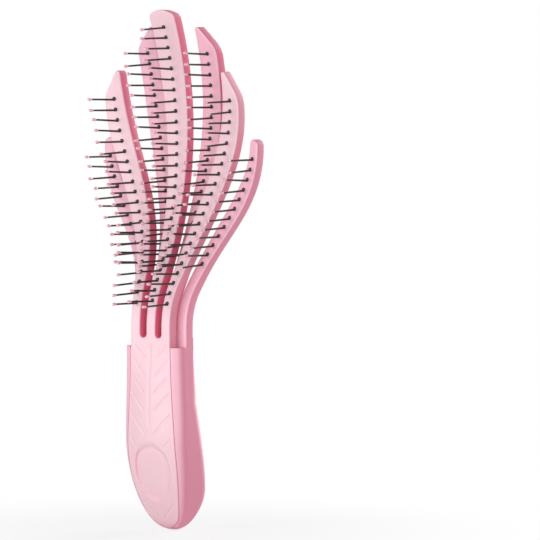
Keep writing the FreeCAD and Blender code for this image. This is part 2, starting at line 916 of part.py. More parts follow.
def front_cover_node(blank, core):
    """The front cover: crowned plate, neck with three prongs, and pegs on its rear face."""
    region = boolean("Common", "cover_region", cover_plan("cover_plan", 0),
                     cover_side("cover_side", size("cover_wall")))
    hollows = [*channel_curves(size("front_channel_width"), size("front_channel_foot")), dish_curve()]
    veins = vein_curves(FRONT_VEIN_SHARES, size("front_vein_width"))
    plate = boolean("Common", "cover_plate", blank, region)
    plate = boolean("Cut", "cover_dished", plate, relief("front_hollows", hollows, False, core))
    plate = boolean("Cut", "cover_veined", plate, relief("front_veins", veins, False, core))
    slot = size("strip_pitch") - size("front_strip_width")
    half = neck_strip("mid")[1]
    places = (-size("strip_pitch") / 2, size("strip_pitch") / 2)
    outline = prong_outline(places, slot, size("front_slot_rise"), half)
    neck = cupped_piece("front_neck", neck_curves(layer_depth("centre")), outline)
    seated = boolean("Cut", "front_neck_seated", neck, seat_tool("front_seats", FRONT_KINDS))
    root = size("cover_wall") / 2
    pegs = peg_line("cover_pegs", size("peg_radius"), -root, root + size("peg_length"))
    cover = doc.addObject("Part::MultiFuse", "cover")
    cover.Shapes = [plate, seated, pegs]
    return place(cover, "front_cover")


def rear_shell_node(blank, core):
    """The rear shell: hollow tub with a seat for the cover, peg bosses and a neck with four prongs."""
    gap = size("seam_gap")
    overrun = size("cut_overrun")
    pocket = boolean("Common", "seat_region", cover_plan("seat_plan", gap),
                     cover_side("seat_side", size("cover_wall") + gap))
    low = size("cavity_foot")
    high = size("neck_foot") - size("cavity_top_inset")
    wall = size("shell_wall") + size("back_crown")
    rear = [(back_depth(low) - wall, low), (back_depth(high) - wall, high)]
    corners = polygon([(-overrun, low), *rear, (-overrun, high)])
    side = pad_across("cavity_side", "YZ_Plane", corners, "4 * sizes.grip_width")
    room = boolean("Common", "cavity_room", cover_plan("cavity_plan", -size("ledge_width")), side)
    boss = size("peg_radius") + size("boss_wall")
    bosses = peg_line("bosses", boss, -overrun, 2 * overrun)
    cavity = boolean("Cut", "cavity", room, bosses)
    seat = size("cover_wall")
    length = seat + size("peg_length") + size("peg_clearance")
    holes = peg_line("peg_holes", size("peg_radius") + size("peg_clearance"), -seat, length)
    shoulder = size("neck_foot") - size("shoulder_drop")
    step = doc.addObject("Part::Box", "shoulder_step")
    bind(step, {"Length": "2 * sizes.neck_width"})
    bind(step, {"Width": "sizes.cut_overrun", "Height": "sizes.cut_overrun"})
    step.Placement.Base = Vector(-size("neck_width"), layer_depth("inner") - overrun, shoulder)
    middle = channel_curves(size("back_channel_width"), size("back_channel_foot"))
    channel = relief("back_channel", middle, True, core)
    veins = relief("back_veins", vein_curves(BACK_VEIN_SHARES, size("back_vein_width")), True, core)
    tub = blank
    for tool in (pocket, cavity, holes, step, channel, veins):
        tub = boolean("Cut", f"tub_less_{tool.Name}", tub, tool)
    half = size("neck_width") / 2
    places = (-size("strip_pitch"), 0, size("strip_pitch"))
    outline = prong_outline(places, size("rear_slot_width"), size("rear_slot_rise"), half)
    neck = cupped_piece("rear_neck", neck_curves(layer_depth("inner")), outline)
    seated = boolean("Cut", "rear_neck_seated", neck, seat_tool("rear_seats", REAR_KINDS))
    return place(boolean("Fuse", "shell", tub, seated), "rear_shell")


def all_nodes():
    """Every piece of the brush."""
    handle = handle_loft("handle_blank", 0)
    core = handle_loft("relief_core", size("relief_depth"))
    pin = pin_blank()
    bead = bead_blank()
    doc.recompute()
    nodes = [rear_shell_node(handle, core), front_cover_node(handle, core)]
    for kind in FRONT_KINDS + REAR_KINDS:
        nodes += finger_nodes(kind, pin, bead)
    doc.recompute()
    return nodes


def write_pieces(nodes):
    """Check the document and write each piece to its own file."""
    for obj in doc.Objects:
        if "Invalid" in obj.State or "Error" in obj.State:
            raise RuntimeError(f"{obj.Name} failed: {obj.State}")
    os.makedirs("parts", exist_ok=True)
    for node in nodes:
        if node.Shape.isNull() or not node.Shape.isValid():
            raise RuntimeError(f"{node.Label} has no valid shape")
        node.Shape.exportStep(f"parts/{node.Label}.step")
        print(node.Label, len(node.Shape.Solids), "solids", round(node.Shape.Volume, 1), "cubic mm")


write_pieces(all_nodes())
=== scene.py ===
import itertools
import logging
import math
from dataclasses import dataclass, field, replace
from enum import Enum

import bmesh
import bpy
import numpy as np
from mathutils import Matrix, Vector
from mathutils.geometry import delaunay_2d_cdt


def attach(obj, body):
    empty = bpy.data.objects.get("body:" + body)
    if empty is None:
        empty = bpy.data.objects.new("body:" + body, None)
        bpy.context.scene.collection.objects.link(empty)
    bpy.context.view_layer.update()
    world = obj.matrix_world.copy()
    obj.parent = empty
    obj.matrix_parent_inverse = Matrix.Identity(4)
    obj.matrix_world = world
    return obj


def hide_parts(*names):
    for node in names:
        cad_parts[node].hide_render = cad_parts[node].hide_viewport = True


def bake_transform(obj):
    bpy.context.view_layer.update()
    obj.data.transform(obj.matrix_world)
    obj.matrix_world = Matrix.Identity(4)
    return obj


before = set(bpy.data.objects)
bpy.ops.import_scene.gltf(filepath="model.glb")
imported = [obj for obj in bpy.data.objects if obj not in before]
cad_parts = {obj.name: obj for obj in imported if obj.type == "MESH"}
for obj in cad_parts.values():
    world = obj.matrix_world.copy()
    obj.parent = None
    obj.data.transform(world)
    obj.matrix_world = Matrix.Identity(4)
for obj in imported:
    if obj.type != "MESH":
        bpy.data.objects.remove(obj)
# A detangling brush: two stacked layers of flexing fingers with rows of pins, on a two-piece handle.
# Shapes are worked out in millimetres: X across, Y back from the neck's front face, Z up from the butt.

LOG = logging.getLogger("brush")
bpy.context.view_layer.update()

MM = 0.001
# Place of the part's origin in the drawing: the middle of the grip.
GRIP_DEPTH = 9.0
GRIP_HEIGHT = 46.0
# Distance in metres within which the corners of a mesh are one, and the least width to divide by.
WELD = 2e-6
LEAST = 1e-9
# Angle in degrees past which an edge of a moulding stays sharp.
CREASE = 60.0


class Layer(Enum):
    """The two layers of fingers, by the depth of their front face at the neck."""

    FRONT = 0.0
    REAR = 6.3


class Side(Enum):
    """The sides on which a finger stands."""

    MIDDLE = ""
    RIGHT = "_right"
    LEFT = "_left"


def linear(code: str) -> tuple[float, float, float, float]:
    """Turn an sRGB hex value into linear RGBA.

    Args:
        code: Six hex digits.

    Returns:
        The linear colour with full alpha.
    """
    shares = [int(code[place:place + 2], 16) / 255 for place in (0, 2, 4)]
    red, green, blue = (s / 12.92 if s <= 0.04045 else ((s + 0.055) / 1.055) ** 2.4 for s in shares)
    return red, green, blue, 1.0


def smooth(value: np.ndarray, start: float, end: float) -> np.ndarray:
    """Smooth step from 0 at start to 1 at end.

    Args:
        value: Where to read it.
        start: Place of the 0.
        end: Place of the 1.

    Returns:
        The step's height at each value.
    """
    share = np.clip((np.asarray(value, float) - start) / (end - start), 0, 1)
    return share * share * (3 - 2 * share)


def in_frame(points: np.ndarray) -> np.ndarray:
    """Move points from the drawing in millimetres to the part's frame in metres."""
    return (np.asarray(points, float) - (0, GRIP_DEPTH, GRIP_HEIGHT)) * MM


def run_along(points: np.ndarray) -> np.ndarray:
    """Length of a path up to each of its points."""
    return np.concatenate([[0], np.cumsum(np.linalg.norm(np.diff(points, axis=0), axis=1))])


def read_along(places: np.ndarray, run: np.ndarray, values: np.ndarray) -> np.ndarray:
    """Rows of values along a path, read at given lengths."""
    return np.stack([np.interp(places, run, column) for column in values.T], axis=1)


def add_object(name: str, data: bpy.types.ID) -> bpy.types.Object:
    """Make an object from its data and link it to the scene."""
    made = bpy.data.objects.new(name, data)
    bpy.context.collection.objects.link(made)
    return made


# Name of the attribute of painted shade that tells side walls from broad faces, and the turn over which it
# rises from 0 to 1.
PAINTED_SHADE = "wall"
PAINTED_SHADE_TURN = (0.12, 0.8)
# Share of the painted shade on walls that face open air, which are painted paler than those between two
# pieces.
OPEN_WALL_SHADE_SHARE = 0.62
# Least share of painted shade on the backs of the front and the rear moulding, at the neck and at the tips,
# and the heights between which the first passes into the second: painted shade deepens towards the foot of
# the rear slots. The last pair is the turn over which a face counts as a back.
BACK_SHADE_SHARES = {Layer.FRONT: (1.0, 0.2), Layer.REAR: (0.14, 0.14)}
BACK_SHADE_HEIGHTS = (88.0, 158.0)
BACK_SHADE_TURN = (0.0, 0.5)


class Skin:
    """Collects the points and faces of one closed skin in millimetres."""

    def __init__(self) -> None:
        """Start empty."""
        self.points: list[np.ndarray] = []
        self.faces: list[list[int]] = []
        self.count = 0

    def add(self, points: np.ndarray, faces: list[list[int]]) -> None:
        """Add points and the faces between them.

        Args:
            points: Rows of x, y, z.
            faces: Corner numbers, counted from the first of these points.
        """
        self.points.append(np.asarray(points, float).reshape(-1, 3))
        self.faces += [[corner + self.count for corner in face] for face in faces]
        self.count += len(self.points[-1])

    def add_grid(self, lines: np.ndarray, is_tube: bool) -> None:
        """Add four-cornered faces between neighbouring lines of points.

        Args:
            lines: Array of line, place along the line, and x, y, z.
            is_tube: Whether the lines are closed rings of a tube, which is then closed at both ends.
        """
        rows, size, _ = lines.shape
        faces = []
        for low in range(0, (rows - 1) * size, size):
            high = low + size
            for place in range(size if is_tube else size - 1):
                after = (place + 1) % size
                faces.append([low + place, low + after, high + after, high + place])
        if is_tube:
            faces.append(list(range(size))[::-1])
            faces.append(list(range((rows - 1) * size, rows * size)))
        self.add(lines.reshape(-1, 3), faces)

    def paint_wall_shade(self, mesh: bpy.types.Mesh, open_from: float, back_shares: tuple[float, float]) -> None:
        """Write the attribute of painted shade, which deepens the colour of side walls and backs.

        Args:
            mesh: The finished mesh.
            open_from: Distance from the middle past which a wall that faces outwards is in open air.
            back_shares: Least share of painted shade on faces that look backwards, at the neck and at the
                tips.
        """
        facing = np.zeros(3 * len(mesh.loops))
        mesh.corner_normals.foreach_get("vector", facing)
        out, back = facing[0::3], facing[1::3]
        corners = np.zeros(len(mesh.loops), dtype=np.int32)
        mesh.loops.foreach_get("vertex_index", corners)
        places = np.zeros(3 * len(mesh.vertices))
        mesh.vertices.foreach_get("co", places)
        across = places[0::3][corners]
        # Painted shade: walls turned away from the front and back get the deeper colour, less where they face
        # open air.
        is_open = (np.abs(across) > open_from * MM) & (across * out > 0)
        turned = smooth(1 - np.abs(back), *PAINTED_SHADE_TURN) * np.where(is_open, OPEN_WALL_SHADE_SHARE, 1.0)
        # Painted shade on backs, deepest at the neck of the front moulding and fading towards its tips.
        height = places[2::3][corners] / MM + GRIP_HEIGHT
        least = back_shares[0] + (back_shares[1] - back_shares[0]) * smooth(height, *BACK_SHADE_HEIGHTS)
        turned = np.maximum(turned, least * smooth(back, *BACK_SHADE_TURN))
        mesh.attributes.new(PAINTED_SHADE, "FLOAT", "CORNER").data.foreach_set("value", turned)

    def build(self, name: str, crease: float = CREASE, mirrored: bool = False, open_from: float = math.inf,
              back_shares: tuple[float, float] = (0.0, 0.0)) -> bpy.types.Object:
        """Make the object, with doubles merged and faces pointing outwards.

        Args:
            name: The piece's name.
            crease: Angle in degrees past which an edge stays sharp.
            mirrored: Whether to make the left-hand twin.
            open_from: Distance from the middle past which a wall that faces outwards is in open air and gets
                less painted shade.
            back_shares: Least share of the painted shade on backs, at the neck and at the tips.

        Returns:
            The new object at the origin.
        """
        points = in_frame(np.concatenate(self.points))
        if mirrored:
            points = points * (-1, 1, 1)
        mesh = bpy.data.meshes.new(name)
        mesh.from_pydata(points.tolist(), [], self.faces)
        shape = bmesh.new()
        shape.from_mesh(mesh)
        bmesh.ops.remove_doubles(shape, verts=shape.verts[:], dist=WELD)
        bmesh.ops.dissolve_degenerate(shape, edges=shape.edges[:], dist=WELD / 2)
        bmesh.ops.recalc_face_normals(shape, faces=shape.faces[:])
        shape.to_mesh(mesh)
        shape.free()
        mesh.shade_smooth()
        mesh.set_sharp_from_angle(angle=math.radians(crease))
        self.paint_wall_shade(mesh, open_from, back_shares)
        return add_object(name, mesh)


# Finishes


def add_node(tree: bpy.types.NodeTree, kind: str, settings: dict, links: dict) -> bpy.types.Node:
    """Add a node with its settings and links.

    Args:
        tree: The node tree.
        kind: The node's type.
        settings: Properties by name, and input values by socket name or number.
        links: Output sockets by the name or number of the input that they feed.

    Returns:
        The new node.
    """
    node = tree.nodes.new(kind)
    for key, value in settings.items():
        if isinstance(key, str) and hasattr(node, key):
            setattr(node, key, value)
        else:
            node.inputs[key].default_value = value
    for key, socket in links.items():
        tree.links.new(socket, node.inputs[key])
    return node


# Sockets of a colour mix, among those of its other kinds of value: factor, first and second colour, result.
MIX_FACTOR, MIX_FIRST, MIX_SECOND, MIX_RESULT = 0, 6, 7, 2


@dataclass(frozen=True)
class Finish:
    """A moulded or dipped plastic: its colour and how its surface takes light."""

    name: str
    colour: str
    shade: str
    roughness: tuple[float, float]
    ior: float
    cloud_mm: float
    grain_mm: float
    grain_height_mm: float
    # Colour of the painted shade on side walls and backs.
    wall: str = ""
    subsurface: float = 0.0
    subsurface_mm: float = 1.0
    subsurface_tint: tuple[float, float, float] = (1.0, 0.45, 0.4)
    coat: float = 0.0
    cloud_detail: float = 3.0
    cloud_shares: tuple[float, float] = (0.3, 0.7)
    grain_detail: float = 2.0

    def material(self) -> bpy.types.Material:
        """Build the material from two scales of noise, faint clouds of colour and a fine moulded grain, with
        painted shade mixed in on walls and backs.
        """
        material = bpy.data.materials.new(self.name)
        material.use_nodes = True
        tree = material.node_tree
        shader = tree.nodes["Principled BSDF"]
        place = tree.nodes.new("ShaderNodeTexCoord").outputs["Object"]
        clouds = add_node(tree, "ShaderNodeTexNoise",
                          {"Scale": 1 / (self.cloud_mm * MM), "Detail": self.cloud_detail}, {"Vector": place})
        grain = add_node(tree, "ShaderNodeTexNoise",
                         {"Scale": 1 / (self.grain_mm * MM), "Detail": self.grain_detail}, {"Vector": place})
        tint = add_node(tree, "ShaderNodeValToRGB", {}, {"Fac": clouds.outputs["Fac"]})
        codes = (self.shade, self.colour)
        for stop, share, code in zip(tint.color_ramp.elements, self.cloud_shares, codes):
            stop.position = share
            stop.color = linear(code)
        colour = tint.outputs["Color"]
        # Painted shade: the wall colour is mixed in where the attribute marks walls and backs.
        if self.wall:
            turn = add_node(tree, "ShaderNodeAttribute", {"attribute_name": PAINTED_SHADE}, {})
            deep = add_node(tree, "ShaderNodeMix", {"data_type": "RGBA", MIX_SECOND: linear(self.wall)},
                            {MIX_FACTOR: turn.outputs["Fac"], MIX_FIRST: colour})
            colour = deep.outputs[MIX_RESULT]
        gloss = add_node(tree, "ShaderNodeMapRange",
                         {"To Min": self.roughness[0], "To Max": self.roughness[1]},
                         {"Value": grain.outputs["Fac"]})
        bump = add_node(tree, "ShaderNodeBump", {"Strength": 1.0, "Distance": self.grain_height_mm * MM},
                        {"Height": grain.outputs["Fac"]})
        shader.inputs["IOR"].default_value = self.ior
        shader.inputs["Subsurface Weight"].default_value = self.subsurface
        shader.inputs["Subsurface Scale"].default_value = self.subsurface_mm * MM
        shader.inputs["Subsurface Radius"].default_value = self.subsurface_tint
        shader.inputs["Coat Weight"].default_value = self.coat
        tree.links.new(colour, shader.inputs["Base Color"])
        tree.links.new(gloss.outputs["Result"], shader.inputs["Roughness"])
        tree.links.new(bump.outputs["Normal"], shader.inputs["Normal"])
        return material


# Satin polypropylene of the front moulding: a pale pink with a soft sheen and a fine grain from the mould.
# Its wall colour is painted shade: a deeper pink standing in for the shade of light passed through the
# plastic.
FRONT_PINK = Finish("satin_polypropylene_pale_pink", colour="EDC8D1", shade="EBC4CE", wall="E67391",
                    roughness=(0.38, 0.46), ior=1.49, cloud_mm=14.0, grain_mm=0.35, grain_height_mm=0.005)
# The rear moulding is the same plastic in a warmer rose, so that the two layers of fingers stand apart.
# Its wall colour is painted shade too.
REAR_PINK = replace(FRONT_PINK, name="satin_polypropylene_rose_pink", colour="EDB9C9", shade="EBB4C5",
                    wall="E26D8E")
# Drawn nylon filament: near black with a warm tint and a soft streak of light.
PIN_BLACK = Finish("drawn_nylon_pins", colour="1C0F12", shade="150B0D", roughness=(0.30, 0.38), ior=1.53,
                   cloud_mm=3.0, grain_mm=0.25, grain_height_mm=0.003)
# Dipped resin: pale pink, glossy and slightly clear at the edge.
BEAD_PINK = Finish("dipped_resin_beads", colour="F6C3CE", shade="F2B9C6", roughness=(0.16, 0.22), ior=1.50,
                   cloud_mm=2.0, grain_mm=0.3, grain_height_mm=0.002, subsurface=0.3, subsurface_mm=0.8,
                   coat=0.3)


# Fingers


@dataclass(frozen=True)
class Bowl:
    """Side profile and cupping that all the fingers share."""

    hinge_height: float = 90.0
    bowl_height: float = 170.0
    bend_radius: float = 47.0
    bowl_radius: float = 132.0
    tip_radius: float = 155.0
    cup_radius: float = 196.0
    thickness: float = 5.3

    @property
    def lean(self) -> float:
        """Lean of the fingers where the neck's bend meets the bowl."""
        return math.asin((self.bowl_height - self.hinge_height) / (self.bend_radius + self.bowl_radius))

    @property
    def depth(self) -> float:
        """Depth of the front layer's face at the bottom of the bowl."""
        return (self.bend_radius + self.bowl_radius) * (1 - math.cos(self.lean))

    def sag(self, across: np.ndarray, depth: np.ndarray) -> np.ndarray:
        """How far a cupped face comes forward at a distance from the middle."""
        cup = self.cup_radius + depth
        return cup - np.sqrt(cup ** 2 - np.asarray(across, float) ** 2)

    def face(self, across: np.ndarray, height: np.ndarray, offset: np.ndarray) -> np.ndarray:
        """Depth of a cupped face.

        Args:
            across: Distances from the middle.
            height: Heights above the butt.
            offset: How far the face lies behind the front layer's.

        Returns:
            The depth at each place.
        """
        given = (np.asarray(values, float) for values in (across, height, offset))
        across, height, offset = np.broadcast_arrays(*given)
        bend = self.bend_radius - offset
        turn = bend * math.sin(self.lean)
        climb = np.clip(height - self.hinge_height, 0, turn)
        lower = self.bend_radius - np.sqrt(bend ** 2 - climb ** 2)
        rise = height - self.bowl_height
        radius = np.where(rise < 0, self.bowl_radius, self.tip_radius)
        upper = self.depth - radius + np.sqrt(np.maximum((radius + offset) ** 2 - rise ** 2, 0))
        profile = np.where(height - self.hinge_height < turn, lower, upper)
        return profile - self.sag(across, profile)


BOWL = Bowl()
# Height where the fingers start to fan out, and the rounding of every rim.
FAN_HEIGHT = 94.0
RIM = 0.9
RIM_STEPS = 6
# Points along the S-curve of an edge, round a corner of a tip and along the middle line of a finger.
EDGE_POINTS = 241
ARC_POINTS = 49
LINE_POINTS = 401
# The neck's strips and slots, from which the fingers spring.
NECK_WIDTH = 31.3
STRIP_PITCH = 8.46
FRONT_STRIP = 5.0
REAR_SLOT = 3.0


def rim_turns() -> tuple[np.ndarray, np.ndarray]:
    """Insets of a rounded rim of radius 1, from its face to its side.

    Returns:
        How far in from the side, and how far behind the face, at each step.
    """
    turn = np.linspace(math.pi / 2, 0, RIM_STEPS + 1)
    return 1 - np.cos(turn), 1 - np.sin(turn)


@dataclass(frozen=True)
class Corner:
    """A corner of a finger's tip before rounding."""

    across: float
    height: float
    radius: float


@dataclass(frozen=True)
class Finger:
    """One kind of finger: its outline seen from the front, and its row of pins."""

    kind: str
    layer: Layer
    sides: tuple[Side, ...]
    strip: tuple[float, float]
    inside: float
    outside: float
    tip: float
    slant: float
    apex_radius: float
    shoulder_radius: float
    inside_shares: tuple[float, float]
    outside_shares: tuple[float, float]
    row_foot: float
    row_top: float
    root: float
    flex_end: float
    plain_stations: int = 90
    tip_stations: int = 60
    tip_start_share: float = 0.86
    tip_crowding: float = 1.6
    face_steps: int = 18

    def corners(self) -> list[Corner]:
        """Corners of the tip, from the inside edge to the outside."""
        slant = math.radians(self.slant)
        if self.kind == "centre":
            apex = self.tip + self.apex_radius * (1 / math.cos(slant) - 1)
            shoulder = apex - self.outside * math.tan(slant)
            return [Corner(-self.outside, shoulder, self.shoulder_radius), Corner(0, apex, self.apex_radius),
                    Corner(self.outside, shoulder, self.shoulder_radius)]
        half = (math.pi / 2 - slant) / 2
        apex = self.tip - self.apex_radius + self.apex_radius / math.tan(half)
        shoulder = apex - (self.outside - self.inside) * math.tan(slant)
        return [Corner(self.inside, apex, self.apex_radius),
                Corner(self.outside, shoulder, self.shoulder_radius)]

    def arcs(self) -> list[np.ndarray]:
        """Rounded corners of the tip, each as points from the inside edge to the outside."""
        corners = self.corners()
        path = [np.array((c.across, c.height)) for c in corners]
        path = [np.array((corners[0].across, FAN_HEIGHT)), *path, np.array((corners[-1].across, FAN_HEIGHT))]
        arcs = []
        for before, here, after, corner in zip(path, path[1:], path[2:], corners):
            back = (before - here) / np.linalg.norm(before - here)
            ahead = (after - here) / np.linalg.norm(after - here)
            half = math.acos(float(np.clip(back @ ahead, -1, 1))) / 2
            middle = (back + ahead) / np.linalg.norm(back + ahead)
            centre = here + middle * corner.radius / math.sin(half)
            start = here + back * corner.radius / math.tan(half) - centre
            sweep = math.pi - 2 * half
            turns = np.linspace(0, -sweep, ARC_POINTS)
            turned = [(start[0] * math.cos(t) - start[1] * math.sin(t),
                       start[0] * math.sin(t) + start[1] * math.cos(t)) for t in turns]
            arcs.append(centre + np.array(turned))
        return arcs

    def edge(self, start: float, end: np.ndarray, shares: tuple[float, float]) -> np.ndarray:
        """The S-curve of an edge, from the fan's start to the tip's rounding."""
        climb = end[1] - FAN_HEIGHT
        poles = np.array([(start, FAN_HEIGHT), (start, FAN_HEIGHT + shares[0] * climb),
                          (end[0], end[1] - shares[1] * climb), end])
        share = np.linspace(0, 1, EDGE_POINTS)[:, None]
        rest = 1 - share
        return (rest ** 3 * poles[0] + 3 * rest ** 2 * share * poles[1]
                + 3 * rest * share ** 2 * poles[2] + share ** 3 * poles[3])

    def paths(self) -> tuple[np.ndarray, np.ndarray]:
        """Inside and outside edges, each from the root to the apex of the tip."""
        arcs = self.arcs()
        apex = len(arcs) // 2 if self.kind == "centre" else 0
        half = len(arcs[apex]) // 2
        first = arcs[:apex] + [arcs[apex][:half + 1]]
        last = [arc[::-1] for arc in arcs[:apex:-1]] + [arcs[apex][half:][::-1]]
        paths = []
        for start, pieces, shares in ((self.strip[0], first, self.inside_shares),
                                      (self.strip[1], last, self.outside_shares)):
            root = np.array([(start, self.root)])
            paths.append(np.concatenate([root, self.edge(start, pieces[0][0], shares), *pieces]))
        return paths[0], paths[1]

    def station_shares(self) -> np.ndarray:
        """Shares of an edge's length where sections are taken, closer together towards the tip."""
        start = self.tip_start_share
        plain = np.linspace(0, start, self.plain_stations, endpoint=False)
        close = start + (1 - start) * (1 - (1 - np.linspace(0, 1, self.tip_stations)) ** self.tip_crowding)
        return np.concatenate([plain, close])

    def resampled(self, path: np.ndarray, inward: float) -> tuple[np.ndarray, np.ndarray]:
        """Stations of an edge, with the direction into the finger at each.

        Args:
            path: The edge's points.
            inward: 1 for an inside edge and -1 for an outside one.

        Returns:
            Points and unit directions.
        """
        steps = np.linalg.norm(np.diff(path, axis=0), axis=1)
        keep = np.concatenate([[True], steps > LEAST])
        path = path[keep]
        run = run_along(path)
        tangent = np.gradient(path, run, axis=0)
        places = self.station_shares() * run[-1]
        points, along = read_along(places, run, path), read_along(places, run, tangent)
        normal = np.stack([along[:, 1], -along[:, 0]], axis=1) * inward
        return points, normal / np.linalg.norm(normal, axis=1, keepdims=True)

    def rings(self) -> np.ndarray:
        """Sections of the finger: flat front and back, straight sides and rounded rims."""
        inside_path, outside_path = self.paths()
        inner, inward = self.resampled(inside_path, 1)
        outer, outward = self.resampled(outside_path, -1)
        last = (inner[-1] + outer[-1]) / 2
        inner[-1] = outer[-1] = last
        inward[-1] = outward[-1] = (inward[-1] + outward[-1]) / 2
        inset, behind = rim_turns()
        front = self.layer.value
        back = front + BOWL.thickness
        shares = (1 - np.cos(np.linspace(0, math.pi, self.face_steps + 1))) / 2
        face = [(inner + inward * RIM) * (1 - share) + (outer + outward * RIM) * share for share in shares]
        outer_rim = [outer + outward * RIM * step for step in inset[1:]]
        inner_rim = [inner + inward * RIM * step for step in inset[1:]]
        plan = np.stack(face + outer_rim + outer_rim[::-1] + face[::-1] + inner_rim + inner_rim[::-1], axis=1)
        front_rim, back_rim = front + RIM * behind[1:], back - RIM * behind[1:]
        offsets = np.concatenate([np.full(len(face), front), front_rim, back_rim[::-1],
                                  np.full(len(face), back), back_rim, front_rim[::-1]])
        depth = BOWL.face(plan[:, :, 0], plan[:, :, 1], offsets[None, :])
        return np.stack([plan[:, :, 0], depth, plan[:, :, 1]], axis=2)

    def pin_feet(self, pitch: float) -> np.ndarray:
        """Feet of the pins on the middle line of the front face, a pitch apart from the top down."""
        curves = [path[1:EDGE_POINTS + 1] for path in self.paths()]
        heights = np.linspace(self.row_top, self.row_foot, LINE_POINTS)
        inside, outside = (np.interp(heights, curve[:, 1], curve[:, 0]) for curve in curves)
        across = (inside + outside) / 2
        line = np.stack([across, BOWL.face(across, heights, self.layer.value), heights], axis=1)
        run = run_along(line)
        return read_along(np.arange(0, run[-1], pitch), run, line)


BOTH = (Side.RIGHT, Side.LEFT)
# Heights where the fingers' skins meet their roots, and where their flex ends.
FRONT_ROOT, REAR_ROOT = 88.5, 88.9
FRONT_FLEX, REAR_FLEX = 100.0, 106.0
FINGERS = (
    Finger("centre", Layer.FRONT, (Side.MIDDLE,), strip=(-FRONT_STRIP / 2, FRONT_STRIP / 2),
           inside=-7.1, outside=7.1, tip=230.0, slant=20.0, apex_radius=10.0, shoulder_radius=2.5,
           inside_shares=(0.17, 0.40), outside_shares=(0.17, 0.40), row_foot=100.0, row_top=222.5,
           root=FRONT_ROOT, flex_end=FRONT_FLEX),
    Finger("mid", Layer.FRONT, BOTH, strip=(STRIP_PITCH - FRONT_STRIP / 2, STRIP_PITCH + FRONT_STRIP / 2),
           inside=28.35, outside=37.65, tip=203.0, slant=58.0, apex_radius=1.4, shoulder_radius=12.0,
           inside_shares=(0.48, 0.38), outside_shares=(0.40, 0.34), row_foot=100.0, row_top=190.4,
           root=FRONT_ROOT, flex_end=FRONT_FLEX),
    Finger("inner", Layer.REAR, BOTH, strip=(REAR_SLOT / 2, STRIP_PITCH - REAR_SLOT / 2),
           inside=11.65, outside=22.2, tip=222.4, slant=48.7, apex_radius=1.5, shoulder_radius=8.0,
           inside_shares=(0.43, 0.42), outside_shares=(0.41, 0.48), row_foot=117.0, row_top=210.8,
           root=REAR_ROOT, flex_end=REAR_FLEX),
    Finger("outer", Layer.REAR, BOTH, strip=(STRIP_PITCH + REAR_SLOT / 2, NECK_WIDTH / 2),
           inside=38.35, outside=43.4, tip=173.3, slant=25.0, apex_radius=1.9, shoulder_radius=2.2,
           inside_shares=(0.46, 0.27), outside_shares=(0.46, 0.45), row_foot=117.0, row_top=164.8,
           root=REAR_ROOT, flex_end=REAR_FLEX),
)


class FingerSet:
    """The seven flexing fingers."""

    def __init__(self, finishes: dict[Layer, bpy.types.Material]) -> None:
        """Keep each layer's material."""
        self.finishes = finishes

    def build(self) -> None:
        """Make each finger's skin."""
        for finger in FINGERS:
            rings = finger.rings()
            for side in finger.sides:
                node = f"finger_{finger.kind}{side.value}"
                skin = Skin()
                skin.add_grid(rings, is_tube=True)
                # Walls and backs get painted shade, less on the outward walls of the mid and outer fingers,
                # which face open air.
                piece = skin.build(f"skin_{node}", mirrored=side is Side.LEFT,
                                   open_from=0.0 if finger.kind in ("mid", "outer") else math.inf,
                                   back_shares=BACK_SHADE_SHARES[finger.layer])
                piece.data.materials.append(self.finishes[finger.layer])
                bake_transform(piece)
                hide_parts(node)
                LOG.info("%s: %d faces", piece.name, len(piece.data.polygons))


# Pins and beads

# Dome of a pin's foot: shares of its radius and height.
DOME_SHARES = ((0.86, 0.72), (0.5, 1.0), (0.0, 1.05))
# Thickening of the filament at its foot: shares of its radius, with their reach in millimetres.
SHAFT_SWELL = ((1.25, 0.05), (1.05, 0.75), (1.0, 2.0))
# Profile of a bead from the pin to its end: shares of its radius and length.
BEAD_SHARES = ((0.0, 0.0), (0.52, 0.02), (0.70, 0.12), (0.86, 0.28), (0.97, 0.46), (1.0, 0.62), (0.93, 0.78),
               (0.74, 0.90), (0.44, 0.975), (0.0, 1.0))


